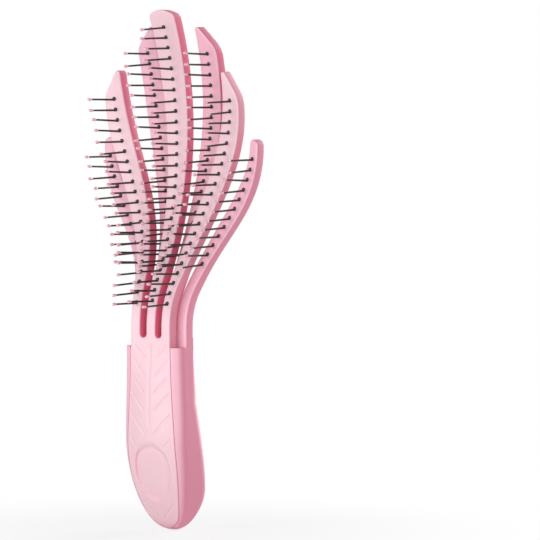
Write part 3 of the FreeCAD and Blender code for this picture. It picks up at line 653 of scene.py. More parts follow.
@dataclass
class PinRows:
    """Rows of black pins with pink beads, one row on each finger."""

    pin_finish: bpy.types.Material
    bead_finish: bpy.types.Material
    pitch: float = 4.77
    reach: float = 17.5
    lean_degrees: float = 3.0
    foot_radius: float = 0.95
    foot_height: float = 0.4
    shaft_radius: float = 0.45
    shaft_drop: float = 0.42
    bead_radius: float = 0.7
    bead_length: float = 2.8
    bead_hold_share: float = 0.5
    foot_sink: float = 0.6
    foot_wall: float = 0.12
    taper_share: float = 0.9
    foot_steps: int = 12
    shaft_steps: int = 8
    bead_steps: int = 12
    crease: float = 50.0
    first_seed: int = 12
    tree: bpy.types.NodeTree = field(init=False)

    def turned(self, profile: list[tuple[float, float]], steps: int, drop: float = 0.0) -> np.ndarray:
        """Rings turned about the pin's axis, in millimetres from the middle of its foot.

        Args:
            profile: Pairs of radius and reach, from one pole to the other.
            steps: Number of steps round.
            drop: How far below the foot's middle the axis lies.

        Returns:
            Array of ring, place round the ring, and x, y, z.
        """
        turns = np.linspace(0, 2 * math.pi, steps, endpoint=False)
        return np.array([[(radius * math.cos(t), -reach, radius * math.sin(t) - drop) for t in turns]
                         for radius, reach in profile])

    def master(self, name: str, tubes: list[np.ndarray]) -> bpy.types.Object:
        """Join turned rings to one master piece round the foot of a pin."""
        skin = Skin()
        for rings in tubes:
            skin.add_grid(rings + (0, GRIP_DEPTH, GRIP_HEIGHT), is_tube=True)
        return skin.build(name, crease=self.crease)

    def pin_master(self) -> bpy.types.Object:
        """One pin: a low domed foot and a slightly tapered filament at its lower side."""
        foot, height = self.foot_radius, self.foot_height
        dome = [(0.0, -self.foot_sink), (foot, -self.foot_sink), (foot, self.foot_wall)]
        dome += [(foot * across, height * up) for across, up in DOME_SHARES]
        radius = self.shaft_radius
        end = self.reach - self.bead_length * self.bead_hold_share
        shaft = [(0.0, 0.0), *((radius * share, place) for share, place in SHAFT_SWELL),
                 (radius * self.taper_share, end), (0.0, end)]
        return self.master("pin_master", [self.turned(dome, self.foot_steps),
                                          self.turned(shaft, self.shaft_steps, self.shaft_drop)])

    def bead_master(self) -> bpy.types.Object:
        """One bead: a long drop, round at its end and drawn in towards the pin."""
        radius, length = self.bead_radius, self.bead_length
        start = self.reach - length
        profile = [(radius * across, start + length * along) for across, along in BEAD_SHARES]
        return self.master("bead_master", [self.turned(profile, self.bead_steps, self.shaft_drop)])

    def make_tree(self) -> bpy.types.NodeTree:
        """The node tree that sets one element on each point of a row, each with its own slight lean."""
        tree = bpy.data.node_groups.new("leaning_row", "GeometryNodeTree")
        for name, kind in (("Feet", "NodeSocketGeometry"), ("Element", "NodeSocketObject"),
                           ("Lean", "NodeSocketFloat"), ("Seed", "NodeSocketInt"),
                           ("Finish", "NodeSocketMaterial")):
            tree.interface.new_socket(name, in_out="INPUT", socket_type=kind)
        tree.interface.new_socket("Row", in_out="OUTPUT", socket_type="NodeSocketGeometry")
        given = tree.nodes.new("NodeGroupInput").outputs
        most = add_node(tree, "ShaderNodeCombineXYZ", {}, {"X": given["Lean"], "Z": given["Lean"]})
        least = add_node(tree, "ShaderNodeVectorMath", {"operation": "SCALE", "Scale": -1.0},
                         {0: most.outputs["Vector"]})
        lean = add_node(tree, "FunctionNodeRandomValue", {"data_type": "FLOAT_VECTOR"},
                        {0: least.outputs["Vector"], 1: most.outputs["Vector"], "Seed": given["Seed"]})
        element = add_node(tree, "GeometryNodeObjectInfo", {"transform_space": "ORIGINAL"},
                           {"Object": given["Element"]})
        row = add_node(tree, "GeometryNodeInstanceOnPoints", {},
                       {"Points": given["Feet"], "Instance": element.outputs["Geometry"],
                        "Rotation": lean.outputs[0]})
        real = add_node(tree, "GeometryNodeRealizeInstances", {}, {"Geometry": row.outputs["Instances"]})
        dressed = add_node(tree, "GeometryNodeSetMaterial", {},
                           {"Geometry": real.outputs["Geometry"], "Material": given["Finish"]})
        add_node(tree, "NodeGroupOutput", {}, {"Row": dressed.outputs["Geometry"]})
        return tree

    def row(self, name: str, feet: np.ndarray, element: bpy.types.Object, finish: bpy.types.Material,
            seed: int) -> bpy.types.Object:
        """Set an element on every foot and turn the result into a plain mesh.

        Args:
            name: The piece's name.
            feet: Points in millimetres.
            element: The master piece.
            finish: The row's material.
            seed: Seed of the random lean.

        Returns:
            The finished row.
        """
        mesh = bpy.data.meshes.new(f"{name}_feet")
        mesh.from_pydata(in_frame(feet).tolist(), [], [])
        piece = add_object(name, mesh)
        modifier = piece.modifiers.new("row", "NODES")
        modifier.node_group = self.tree
        values = {"Element": element, "Lean": math.radians(self.lean_degrees), "Seed": seed, "Finish": finish}
        for item in self.tree.interface.items_tree:
            if item.name in values:
                modifier[item.identifier] = values[item.name]
        graph = bpy.context.evaluated_depsgraph_get()
        result = bpy.data.meshes.new_from_object(piece.evaluated_get(graph))
        piece.modifiers.clear()
        piece.data = result
        result.name = name
        return piece

    def build(self) -> None:
        """Make the rows of all fingers."""
        self.tree = self.make_tree()
        pin, bead = self.pin_master(), self.bead_master()
        seeds = itertools.count(self.first_seed)
        for finger in FINGERS:
            feet = finger.pin_feet(self.pitch)
            for side in finger.sides:
                name = f"{finger.kind}{side.value}"
                seed = next(seeds)
                places = feet * (-1 if side is Side.LEFT else 1, 1, 1)
                pins = self.row(f"row_pins_{name}", places, pin, self.pin_finish, seed)
                beads = self.row(f"row_beads_{name}", places, bead, self.bead_finish, seed)
                for piece, node, slot in ((pins, f"pins_{name}", "pin"), (beads, f"tips_{name}", "tip")):
                    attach(piece, f"finger_{name}")
                    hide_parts(node)
                LOG.info("%s: %d pins", pins.name, len(feet))
        for master in (pin, bead):
            bpy.data.objects.remove(master)


# Handle


@dataclass(frozen=True)
class Vein:
    """A groove of the leaf relief: start and end across and up, on the right-hand side."""

    start: tuple[float, float]
    end: tuple[float, float]


@dataclass(frozen=True)
class Dish:
    """The oval thumb dish. The width of its edge is a share of its radius, and grows towards its top."""

    middle: float
    half_height: float
    half_width: float
    deep: float
    edge_share: float
    top_edge_share: float
    growth: tuple[float, float]

    def depth(self, across: np.ndarray, height: np.ndarray) -> np.ndarray:
        """How far the face is sunk at each place."""
        up = (height - self.middle) / self.half_height
        rim = np.hypot(across / self.half_width, up)
        edge = self.edge_share + (self.top_edge_share - self.edge_share) * smooth(up, *self.growth)
        return self.deep * (1 - smooth((rim - 1 + edge) / edge, 0.0, 1.0))


@dataclass(frozen=True)
class Relief:
    """Leaf veins on one face of the handle: a channel along the middle, slanted veins, and a thumb dish."""

    veins: tuple[Vein, ...]
    vein_width: float
    vein_depth: float
    channel_width: float
    channel_depth: float
    channel_foot: float
    channel_top: float
    dish: Dish | None = None

    def groove(self, distance: np.ndarray, width: float, depth: float) -> np.ndarray:
        """Depth of a round-bottomed groove at a distance from its middle line."""
        share = np.clip(2 * distance / width, 0, 1)
        return depth * (1 - share ** 2) ** 2

    def depth(self, across: np.ndarray, height: np.ndarray) -> np.ndarray:
        """Depth of the relief.

        Args:
            across: Distances from the middle.
            height: Heights above the butt.

        Returns:
            How far the face is sunk at each place.
        """
        across = np.abs(across)
        nearest = np.clip(height, self.channel_foot, self.channel_top)
        sunk = self.groove(np.hypot(across, height - nearest), self.channel_width, self.channel_depth)
        for vein in self.veins:
            start, end = np.array(vein.start), np.array(vein.end)
            run = end - start
            share = ((across - start[0]) * run[0] + (height - start[1]) * run[1]) / (run @ run)
            share = np.clip(share, 0, 1)
            away = np.hypot(across - start[0] - share * run[0], height - start[1] - share * run[1])
            sunk = np.maximum(sunk, self.groove(away, self.vein_width, self.vein_depth))
        return sunk if self.dish is None else np.maximum(sunk, self.dish.depth(across, height))


BACK_RELIEF = Relief(
    (Vein((2.0, 84.0), (4.0, 86.4)), Vein((2.0, 77.2), (10.5, 85.0)), Vein((2.0, 70.0), (11.2, 78.9)),
     Vein((2.0, 61.8), (12.9, 72.3)), Vein((2.0, 53.2), (12.3, 64.0)), Vein((2.0, 44.1), (14.5, 57.6)),
     Vein((2.0, 32.7), (14.4, 47.0)), Vein((2.0, 21.1), (14.2, 35.4)), Vein((2.0, 8.1), (10.7, 16.3))),
    vein_width=2.4, vein_depth=0.55, channel_width=5.0, channel_depth=0.7, channel_foot=6.5, channel_top=82.6)
FRONT_RELIEF = Relief(
    (Vein((2.8, 77.1), (8.5, 82.4)), Vein((2.8, 69.0), (9.3, 76.2)), Vein((2.8, 61.6), (9.3, 68.2)),
     Vein((2.8, 53.8), (10.3, 61.4)), Vein((2.5, 43.4), (10.8, 52.0)), Vein((8.2, 37.9), (11.2, 41.6)),
     Vein((1.8, 6.3), (8.4, 12.4))),
    vein_width=1.2, vein_depth=0.3, channel_width=2.3, channel_depth=0.4, channel_foot=47.8, channel_top=82.0,
    dish=Dish(middle=27.0, half_height=13.8, half_width=9.9, deep=1.2, edge_share=0.09, top_edge_share=0.35,
              growth=(0.45, 0.95)))
# Places over which the heel is averaged to round it.
HEEL_STEPS = np.linspace(-1, 1, 15)
# Steps of a section: round the seam and the corners, down the sides, across half the back and the cover.
SEAM_STEPS, CORNER_STEPS, SIDE_STEPS, BACK_STEPS, FACE_STEPS = 4, 24, 11, 45, 84
# Steps of the neck's outline: up a prong, round a slot's floor and along its foot.
PRONG_STEPS, SLOT_STEPS, FOOT_STEPS = 7, 24, 39
# Grid of points inside the neck's broad faces, with its margins at the foot, the slots, the left and right.
GRID_PITCH = 0.8
GRID_FOOT, GRID_TOP, GRID_LEFT, GRID_RIGHT = 0.5, 0.2, 0.6, 0.5
# The mode of the triangulation that keeps only faces inside the outline, and its tolerance.
INSIDE_ONLY = 1
PLAN_WELD = 1e-5
# Least share of a direction that looks backwards where the back carries its relief.
BACKWARD_SHARE = 0.05


@dataclass
class Handle:
    """The two-piece handle: front cover and rear shell, each running up into its half of the neck."""

    finishes: dict[Layer, bpy.types.Material]
    # Outline from the front and from the side.
    grip_width: float = 33.1
    neck_width: float = NECK_WIDTH
    round_height: float = 42.0
    rounding: float = 0.8
    butt_depth: float = 16.3
    heel_height: float = 15.0
    heel_depth: float = 26.1
    heel_round: float = 5.0
    outline_power: float = 2.2
    front_power: float = 1.65
    heel_power: float = 1.35
    heel_reach_share: float = 0.45
    # Heights where the halves end and the slots of the neck begin.
    neck_foot: float = 83.0
    shoulder: float = 81.8
    shell_top: float = 86.0
    front_slot_floor: float = 86.0
    rear_slot_floor: float = 87.3
    # Crowns and corners of a section, and how they pass into the neck.
    front_crown: float = 1.5
    back_crown: float = 0.8
    crown_fade_share: float = 0.8
    crown_ease: float = 6.0
    front_corner_share: float = 0.32
    back_corner_share: float = 0.41
    corner_fade_share: float = 0.7
    corner_room_share: float = 0.96
    neck_ease: float = 1.5
    # Seam between the halves, which tightens where the cover is narrow, and the relief's fading.
    cover_foot: float = 1.1
    cover_round: float = 5.0
    seam_shares: tuple[float, float] = (0.836, 0.72)
    seam_heights: tuple[float, float] = (20.0, 72.0)
    seam: float = 0.09
    seam_round: float = 0.3
    seam_room: float = 4.0
    lip: float = 2.4
    relief_room: float = 8.0
    vein_fade: float = 1.5
    # Spacing of the sections, closer in the bands at the butt and at the cover's foot.
    butt_rise: float = 5.0
    butt_band: float = 12.0
    butt_sections: int = 60
    cover_band: float = 11.0
    cover_sections: int = 50
    neck_sections: int = 6
    section_pitch: float = 0.3
    face_turn_share: float = 0.8

    def rounded_end(self, share: np.ndarray, power: float) -> np.ndarray:
        """Superellipse quarter: 0 at share 1, rising to 1 at share 0."""
        return np.maximum(1 - share ** power, 0) ** (1 / power)

    def end_share(self, height: np.ndarray, top: float) -> np.ndarray:
        """How far a height lies below the top of a rounded end, as a share."""
        return np.clip((top - height) / (top + self.rounding), 0, 1)

    def half_width(self, height: np.ndarray) -> np.ndarray:
        """Half the handle's width at a height."""
        grip = self.grip_width / 2
        end = grip * self.rounded_end(self.end_share(height, self.round_height), self.outline_power)
        ease = smooth(height, self.round_height, self.neck_foot)
        return np.where(height < self.round_height, end, grip + ease * (self.neck_width / 2 - grip))

    def cover_half(self, height: np.ndarray) -> np.ndarray:
        """Half the width of the crowned front face between its round corners."""
        return self.half_width(height) * (1 - self.front_corner_share)

    def crown_fade(self, height: np.ndarray) -> np.ndarray:
        """How far the crowned front has passed into the cupped neck at a height."""
        start = self.crown_fade_share
        return np.clip((height / self.neck_foot - start) / (1 - start), 0, 1)

    def front_edge(self, height: np.ndarray) -> np.ndarray:
        """Depth of the front face at the cover's edge."""
        end = self.rounded_end(self.end_share(height, self.round_height), self.front_power)
        fade = self.crown_fade(height)
        return self.butt_depth * (1 - end) - fade * BOWL.sag(self.cover_half(height), 0.0)

    def crown(self, height: np.ndarray) -> np.ndarray:
        """How far the middle of the front face stands in front of the cover's edge."""
        fade = self.crown_fade(height)
        full = self.front_crown * 2 * self.half_width(height) / self.grip_width
        return full * (1 - fade) - fade * BOWL.sag(self.cover_half(height), 0.0)

    def back_depth(self, height: np.ndarray) -> np.ndarray:
        """Depth of the middle of the handle's back, with the heel's corner rounded off."""
        reach = np.clip(self.heel_reach_share * (height + self.rounding), 0, self.heel_round)
        return sum(self.sharp_back(height + reach * step) for step in HEEL_STEPS) / len(HEEL_STEPS)

    def sharp_back(self, height: np.ndarray) -> np.ndarray:
        """Depth of the middle of the handle's back before the heel is rounded."""
        swell = self.rounded_end(self.end_share(height, self.heel_height), self.heel_power)
        heel = self.butt_depth + (self.heel_depth - self.butt_depth) * swell
        neck = Layer.REAR.value + BOWL.thickness
        climb = np.clip((height - self.heel_height) / (self.neck_foot - self.heel_height), 0, 1)
        return np.where(height < self.heel_height, heel, self.heel_depth + climb * (neck - self.heel_depth))

    def levels(self, top: float) -> np.ndarray:
        """Heights of the sections up to a top, close together round the butt."""
        butt = -self.rounding + (self.butt_band + self.rounding) * np.linspace(0, 1, self.butt_sections) ** 2
        return np.concatenate([butt, self.even_heights(self.butt_band + self.section_pitch, top)])

    def even_heights(self, start: float, top: float) -> np.ndarray:
        """Heights a section's pitch apart, from a start up to a top."""
        pitch = self.section_pitch
        return np.append(np.arange(start, top - pitch / 2, pitch), top)

    def lowered(self, level: np.ndarray) -> np.ndarray:
        """Heights of the sections with the rounded butt drawn up to end at the drawing's foot."""
        reach = self.butt_rise
        share = (reach - level) / (reach + self.rounding)
        return np.where(level < reach, level + self.rounding * share ** 2, level)

    def seam_half(self, level: np.ndarray) -> np.ndarray:
        """Half the width of the cover along the seam, with its round lower end."""
        height = self.lowered(level)
        low, high = self.seam_shares
        share = low + (high - low) * smooth(height, *self.seam_heights)
        end = np.clip(1 - (height - self.cover_foot) / self.cover_round, 0, 1)
        return self.half_width(level) * share * self.rounded_end(end, self.outline_power)

    def front_face(self, across: np.ndarray, level: np.ndarray) -> np.ndarray:
        """Depth of the handle's front, from its crowned middle round the corner to the side.

        Args:
            across: Distances from the middle.
            level: Heights of the sections.

        Returns:
            The depth at each place, without the relief.
        """
        half = self.half_width(level)
        radius = half * self.front_corner_share
        edge = half - radius
        front, crown = self.front_edge(level), self.crown(level)
        squeeze = self.squeeze(level)
        away = np.abs(across)
        middle = front - crown + crown * (np.minimum(away, edge) / np.maximum(edge, LEAST)) ** 2
        turn = np.clip((away - edge) / np.maximum(radius, LEAST), 0, 1)
        return middle + radius * squeeze * (1 - np.sqrt(1 - turn ** 2))

    def back_radius(self, level: np.ndarray) -> np.ndarray:
        """Radius of the back corners, fading to the neck's rim."""
        start = self.corner_fade_share
        fade = np.clip((level / self.shoulder - start) / (1 - start), 0, 1)
        return self.half_width(level) * self.back_corner_share * (1 - fade) + RIM * fade

    def squeeze(self, level: np.ndarray) -> np.ndarray:
        """How far the corners are flattened where the butt is too thin for them."""
        crown = self.back_crown * 2 * self.half_width(level) / self.grip_width
        thick = self.back_depth(level) - crown - self.front_edge(level)
        corners = self.half_width(level) * self.front_corner_share + self.back_radius(level)
        return np.clip(self.corner_room_share * thick / np.maximum(corners, LEAST), 0, 1)

    def cover_rings(self) -> np.ndarray:
        """Sections of the front cover: crowned face with its relief, small round edges and a lip behind."""
        dense = self.levels(self.shoulder)
        foot = self.cover_foot + self.cover_band * np.linspace(0, 1, self.cover_sections) ** 2
        heights = np.concatenate([foot, self.even_heights(foot[-1] + self.section_pitch, self.shoulder)])
        low = np.interp(heights, self.lowered(dense), dense)
        neck = np.linspace(self.shoulder, self.neck_foot, self.neck_sections)
        level = np.concatenate([low, neck])[:, None]
        is_neck = (np.arange(len(level)) >= len(low))[:, None]
        height = self.lowered(level)
        half = self.seam_half(level)
        room = np.clip(half / self.seam_room, 0, 1)
        narrow = smooth(level, self.shoulder - self.neck_ease, self.neck_foot)
        neck_half = STRIP_PITCH + FRONT_STRIP / 2
        width = (half - self.seam * room) * (1 - narrow) + neck_half * narrow
        rim = self.seam_round * room * (1 - narrow) + RIM * narrow
        depth = np.where(is_neck, BOWL.thickness, self.lip * room)
        inset, behind = rim_turns()
        spread = math.pi / 2 * self.face_turn_share
        shares = np.sin(np.linspace(-1, 1, FACE_STEPS + 1) * spread) / math.sin(spread)
        face = (width - rim) * shares
        sunk = FRONT_RELIEF.depth(face, height) * room
        side = np.concatenate([width - rim * inset[1:], width - rim * inset[::-1]], axis=1)
        side_sunk = np.concatenate([rim * behind[1:], depth - rim * behind[::-1]], axis=1)
        across = np.concatenate([face, side, -side[:, ::-1]], axis=1)
        sink = np.concatenate([sunk, side_sunk, side_sunk[:, ::-1]], axis=1)
        deep = self.front_face(across, level) + sink
        return np.stack([across, deep, np.broadcast_to(height, across.shape)], axis=2)

    def rear_neck_face(self, across: np.ndarray, half: np.ndarray) -> np.ndarray:
        """Depth of the rear neck's front face, rounded at its outer rims."""
        away = np.abs(across)
        turn = np.clip((away - half + RIM) / RIM, 0, 1)
        flat = Layer.REAR.value - BOWL.sag(np.minimum(away, half - RIM), Layer.REAR.value)
        return flat + RIM * (1 - np.sqrt(1 - turn ** 2))

    def shell_rings(self) -> np.ndarray:
        """Sections of the rear shell: seam walls, round corners, sides and veined back, then the neck."""
        low = self.levels(self.shoulder)
        neck = self.even_heights(self.shoulder, self.shell_top)
        level = np.concatenate([low, neck])[:, None]
        is_neck = (np.arange(len(level)) >= len(low))[:, None]
        height = self.lowered(level)
        level = np.minimum(level, self.neck_foot)
        half = self.half_width(level)
        seam = self.seam_half(level)
        room = np.clip(seam / self.seam_room, 0, 1)
        start = seam + self.seam * room
        rounding = self.seam_round * room
        back_middle = self.back_depth(level)
        back_radius = self.back_radius(level)
        ease = smooth(level, self.shoulder - self.crown_ease, self.shoulder)
        crown = self.back_crown * 2 * half / self.grip_width
        crown = crown * (1 - ease) + BOWL.sag(half - RIM * ease, back_middle) * ease
        back = back_middle - crown
        back_deep = back_radius * self.squeeze(level)
        flat = half - back_radius
        none = np.zeros_like(half)
        columns: list[tuple[np.ndarray, np.ndarray, np.ndarray, np.ndarray]] = []

        def front_column(across: np.ndarray, sink: np.ndarray) -> None:
            """Keep a place on the front, sunk into the seam by a depth."""
            plain = self.front_face(across, level) + sink
            columns.append((across, np.where(is_neck, self.rear_neck_face(across, half), plain), none, none))

        front_column(start, self.lip * room)
        for turn in np.linspace(0, math.pi / 2, SEAM_STEPS + 1):
            front_column(start + rounding * (1 - math.cos(turn)), rounding * (1 - math.sin(turn)))
        first = start + rounding
        for share in np.linspace(0, 1, CORNER_STEPS + 1)[1:]:
            front_column(first + (half - first) * math.sin(share * math.pi / 2), none)
        side_front, side_back = columns[-1][1], back - back_deep
        for share in np.linspace(0, 1, SIDE_STEPS + 1)[1:-1]:
            columns.append((half, side_front * (1 - share) + side_back * share, none + 1, none))
        for turn in np.linspace(0, math.pi / 2, CORNER_STEPS + 1):
            columns.append((flat + back_radius * math.cos(turn), side_back + back_deep * math.sin(turn),
                            none + math.cos(turn), none + math.sin(turn)))
        for share in np.linspace(1, 0, BACK_STEPS + 1)[1:]:
            columns.append((flat * share, back + crown * (1 - share ** 2), none, none + 1))
        x, y, out_x, out_y = (np.concatenate(parts, axis=1) for parts in zip(*columns))
        thin = np.clip((back - self.front_edge(level)) / self.relief_room, 0, 1)
        thin = thin * (1 - smooth(height, self.shell_top - self.vein_fade, self.shell_top))
        veined = BACK_RELIEF.depth(x, np.broadcast_to(height, x.shape)) * thin * (out_y > BACKWARD_SHARE)
        x, y = x - out_x * veined, y - out_y * veined
        last = x.shape[1] - 2
        x = np.concatenate([x, -x[:, last::-1]], axis=1)
        y = np.concatenate([y, y[:, last::-1]], axis=1)
        return np.stack([x, y, np.broadcast_to(height, x.shape)], axis=2)

    def neck_block(self, layer: Layer, half: float, slots: tuple[float, ...], slot_width: float, foot: float,
                   floor: float, top: float) -> Skin:
        """A neck with round-bottomed slots between its prongs, rounded along every rim.

        Args:
            layer: Which layer of fingers it carries.
            half: Half its width.
            slots: Middles of its slots.
            slot_width: Width of a slot.
            foot: Height of its lower end.
            floor: Height of the slots' floors.
            top: Height of the prongs' ends.

        Returns:
            The closed skin.
        """
        radius = slot_width / 2
        ends = np.linspace(foot, top, PRONG_STEPS + 1)
        outward = np.tile((1.0, 0.0), (len(ends), 1))
        paths = [(np.stack([np.full(len(ends), -half), ends], axis=1), -outward)]
        for place in slots:
            turns = np.linspace(math.pi, 2 * math.pi, SLOT_STEPS + 1)
            round_part = np.stack([np.cos(turns), np.sin(turns)], axis=1)
            centre = np.array((place, floor + radius))
            points = np.concatenate([[(place - radius, top)], centre + radius * round_part,
                                     [(place + radius, top)]])
            normals = np.concatenate([[(1.0, 0.0)], -round_part, [(-1.0, 0.0)]])
            paths.append((points, normals))
        paths.append((np.stack([np.full(len(ends), half), ends[::-1]], axis=1), outward))
        inset, behind = rim_turns()
        front = layer.value
        back = front + BOWL.thickness
        skin = Skin()

        def raised(plan: np.ndarray, offset: float) -> np.ndarray:
            """Set points of the plan on the face at an offset."""
            return np.stack([plan[:, 0], BOWL.face(plan[:, 0], plan[:, 1], offset), plan[:, 1]], axis=1)

        strips = []
        for points, normals in paths:
            rims = [(points - normals * RIM * side, RIM * deep) for side, deep in zip(inset, behind)]
            lines = [raised(plan, front + deep) for plan, deep in rims]
            lines += [raised(plan, back - deep) for plan, deep in rims[::-1]]
            strips.append(np.stack(lines))
            skin.add_grid(strips[-1], is_tube=False)
        bottom = np.linspace(half - RIM, -half + RIM, FOOT_STEPS + 1)[1:-1]
        floor_line = np.stack([bottom, np.full(len(bottom), foot)], axis=1)
        border = np.concatenate([*(points - normals * RIM for points, normals in paths), floor_line])
        columns = np.arange(-half + RIM + GRID_LEFT, half - RIM - GRID_RIGHT, GRID_PITCH)
        rows = np.arange(foot + GRID_FOOT, floor - RIM - GRID_TOP, GRID_PITCH)
        inner = [(across, height) for height in rows for across in columns]
        total = len(border)
        flat_points = [Vector(point) for point in border] + [Vector(point) for point in inner]
        edges = [(step, (step + 1) % total) for step in range(total)]
        points, _, faces, _, _, _ = delaunay_2d_cdt(flat_points, edges, [], INSIDE_ONLY, PLAN_WELD)
        plan = np.array([(point.x, point.y) for point in points])
        for offset in (front, back):
            skin.add(raised(plan, offset), [list(face) for face in faces])
        for left, right in zip(strips, strips[1:]):
            cap = np.concatenate([left[:, -1], right[::-1, 0]])
            skin.add(cap, [list(range(len(cap)))])
        cap = np.concatenate([strips[-1][:, -1], raised(floor_line, back), strips[0][::-1, 0],
                              raised(floor_line[::-1], front)])
        skin.add(cap, [list(range(len(cap)))])
        return skin

    def build(self) -> None:
        """Make the cover, the shell and both halves of the neck."""
        pitch, strip = STRIP_PITCH, FRONT_STRIP
        cover, shell = Skin(), Skin()
        cover.add_grid(self.cover_rings(), is_tube=True)
        shell.add_grid(self.shell_rings(), is_tube=True)
        front_neck = self.neck_block(Layer.FRONT, pitch + strip / 2, (-pitch / 2, pitch / 2), pitch - strip,
                                     self.neck_foot, self.front_slot_floor, FRONT_ROOT)
        rear_neck = self.neck_block(Layer.REAR, self.neck_width / 2, (-pitch, 0.0, pitch), REAR_SLOT,
                                    self.shell_top, self.rear_slot_floor, REAR_ROOT)
        neck_edge = pitch + strip / 2 - RIM
        for skin, name, node, slot, layer in (
                (cover, "skin_front_cover", "front_cover", "cover", Layer.FRONT),
                (shell, "skin_rear_shell", "rear_shell", "shell", Layer.REAR),
                (front_neck, "skin_front_neck", None, "cover", Layer.FRONT),
                (rear_neck, "skin_rear_neck", None, "shell", Layer.REAR)):
            # Walls and backs get painted shade, less on walls that face open air: all outer walls of cover
            # and shell, those past the strips on the necks.
            piece = skin.build(name, open_from=0.0 if node else neck_edge, back_shares=BACK_SHADE_SHARES[layer])
            piece.data.materials.append(self.finishes[layer])
            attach(piece, "handle")
            if node:
                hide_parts(node)
            LOG.info("%s: %d faces", piece.name, len(piece.data.polygons))


# Studio

WHITE = linear("FFFFFF")


@dataclass(frozen=True)
class Lamp:
    """A soft rectangular studio lamp aimed at the middle of the brush."""

    name: str
    place: tuple[float, float, float]
    size: float
    power: float

    def build(self, aim: Vector) -> None:
        """Hang the lamp and turn it to its aim."""
        data = bpy.data.lights.new(self.name, "AREA")
        data.shape = "SQUARE"
        data.size = self.size
        data.energy = self.power
        lamp = add_object(self.name, data)
        lamp.location = self.place
        lamp.rotation_euler = (aim - Vector(self.place)).to_track_quat("-Z", "Y").to_euler()


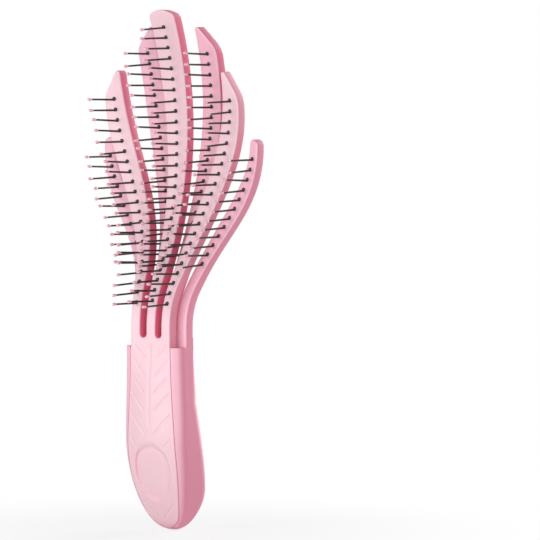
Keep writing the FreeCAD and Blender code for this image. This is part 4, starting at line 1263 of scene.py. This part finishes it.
@dataclass
class Studio:
    """Camera, lamps, white surroundings and a pale floor."""

    pixels: int = 540
    pixel_mm: float = 0.4432
    view_degrees: float = 37.7
    rise_degrees: float = 3.0
    lens: float = 340.0
    sensor: float = 36.0
    anchor_px: tuple[float, float] = (173.6, 529.3)
    anchor_mm: tuple[float, float, float] = (0.0, 16.3, 0.0)
    clip_end: float = 20.0
    floor_radius: float = 0.45
    floor_steps: int = 96
    floor_grey: float = 0.92
    fade_start: float = 0.02
    fade_end: float = 0.18
    fade_least_share: float = 0.8
    surround: float = 0.3
    aim_height: float = 0.06
    lamps: tuple[Lamp, ...] = (
        Lamp("key_lamp", (-0.5, -1.5, 0.2), 1.0, 15.3),
        Lamp("fill_lamp", (1.4, -1.2, 0.3), 1.2, 14.0),
        Lamp("back_lamp", (0.2, 1.7, 0.5), 1.2, 22.0),
    )

    def camera(self) -> None:
        """Set the camera at the photograph's angle, with the brush at its place in the frame."""
        turn, rise = math.radians(self.view_degrees), math.radians(self.rise_degrees)
        away = Vector((math.sin(turn) * math.cos(rise), -math.cos(turn) * math.cos(rise), math.sin(rise)))
        right = Vector((math.cos(turn), math.sin(turn), 0.0))
        above = away.cross(right)
        distance = self.lens / self.sensor * self.pixels * self.pixel_mm * MM
        aside = (self.pixels / 2 - self.anchor_px[0]) * self.pixel_mm * MM
        raised = (self.anchor_px[1] - self.pixels / 2) * self.pixel_mm * MM
        anchor = Vector(in_frame(np.array(self.anchor_mm)))
        data = bpy.data.cameras.new("camera")
        data.lens = self.lens
        data.sensor_width = self.sensor
        data.clip_end = self.clip_end
        camera = add_object("camera", data)
        camera.location = anchor + away * distance + right * aside + above * raised
        camera.rotation_euler = (-away).to_track_quat("-Z", "Y").to_euler()
        bpy.context.scene.camera = camera

    def seen_rays(self, tree: bpy.types.NodeTree) -> bpy.types.NodeSocket:
        """Add the test for rays that show a surface: from the camera, through clear matter or by reflection.

        Args:
            tree: The node tree of a material or of the world.

        Returns:
            The socket that is 1 for such rays and 0 for others.
        """
        path = tree.nodes.new("ShaderNodeLightPath").outputs
        seen = add_node(tree, "ShaderNodeMath", {"operation": "MAXIMUM"},
                        {0: path["Is Camera Ray"], 1: path["Is Transmission Ray"]})
        seen = add_node(tree, "ShaderNodeMath", {"operation": "MAXIMUM"},
                        {0: seen.outputs["Value"], 1: path["Is Glossy Ray"]})
        return seen.outputs["Value"]

    def world(self) -> None:
        """White for the camera and for reflections, and an even soft light for everything else."""
        world = bpy.data.worlds.new("white_room")
        bpy.context.scene.world = world
        world.use_nodes = True
        tree = world.node_tree
        level = add_node(tree, "ShaderNodeMapRange", {"To Min": self.surround, "To Max": 1.0},
                         {"Value": self.seen_rays(tree)})
        white = tree.nodes["Background"]
        white.inputs["Color"].default_value = WHITE
        tree.links.new(level.outputs["Result"], white.inputs["Strength"])

    def floor(self) -> None:
        """A pale round floor under the butt that keeps a soft shadow and fades into white."""
        turns = np.linspace(0, 2 * math.pi, self.floor_steps, endpoint=False)
        depth = -GRIP_HEIGHT * MM
        points = [(self.floor_radius * math.cos(t), self.floor_radius * math.sin(t), depth) for t in turns]
        mesh = bpy.data.meshes.new("floor")
        mesh.from_pydata(points, [], [list(range(len(points)))])
        material = bpy.data.materials.new("pale_floor")
        material.use_nodes = True
        tree = material.node_tree
        tree.nodes.clear()
        place = tree.nodes.new("ShaderNodeTexCoord").outputs["Object"]
        flat = add_node(tree, "ShaderNodeVectorMath", {"operation": "MULTIPLY", 1: (1.0, 1.0, 0.0)},
                        {0: place})
        away = add_node(tree, "ShaderNodeVectorMath", {"operation": "LENGTH"}, {0: flat.outputs["Vector"]})
        fade = add_node(tree, "ShaderNodeMapRange",
                        {"interpolation_type": "SMOOTHSTEP", "From Min": self.fade_start,
                         "From Max": self.fade_end, "To Min": self.fade_least_share, "To Max": 1.0},
                        {"Value": away.outputs["Value"]})
        matt = add_node(tree, "ShaderNodeBsdfDiffuse", {"Color": (*[self.floor_grey] * 3, 1.0)}, {})
        white = add_node(tree, "ShaderNodeEmission", {"Color": WHITE, "Strength": 1.0}, {})
        share = add_node(tree, "ShaderNodeMath", {"operation": "MULTIPLY"},
                         {0: fade.outputs["Result"], 1: self.seen_rays(tree)})
        mixed = add_node(tree, "ShaderNodeMixShader", {}, {0: share.outputs["Value"], 1: matt.outputs["BSDF"],
                                                           2: white.outputs["Emission"]})
        add_node(tree, "ShaderNodeOutputMaterial", {}, {"Surface": mixed.outputs["Shader"]})
        mesh.materials.append(material)
        floor = add_object("floor", mesh)

    def build(self) -> None:
        """Set up everything round the brush."""
        self.camera()
        self.world()
        self.floor()
        aim = Vector((0.0, 0.0, self.aim_height))
        for lamp in self.lamps:
            lamp.build(aim)
        bpy.context.scene.view_settings.view_transform = "Standard"


def main() -> None:
    """Build the brush from the handle up, and the studio round it."""
    logging.basicConfig(level=logging.INFO, format="%(name)s: %(message)s")
    Studio().build()
    finishes = {Layer.FRONT: FRONT_PINK.material(), Layer.REAR: REAR_PINK.material()}
    Handle(finishes).build()
    FingerSet(finishes).build()
    PinRows(PIN_BLACK.material(), BEAD_PINK.material()).build()


if __name__ == "__main__":
    main()
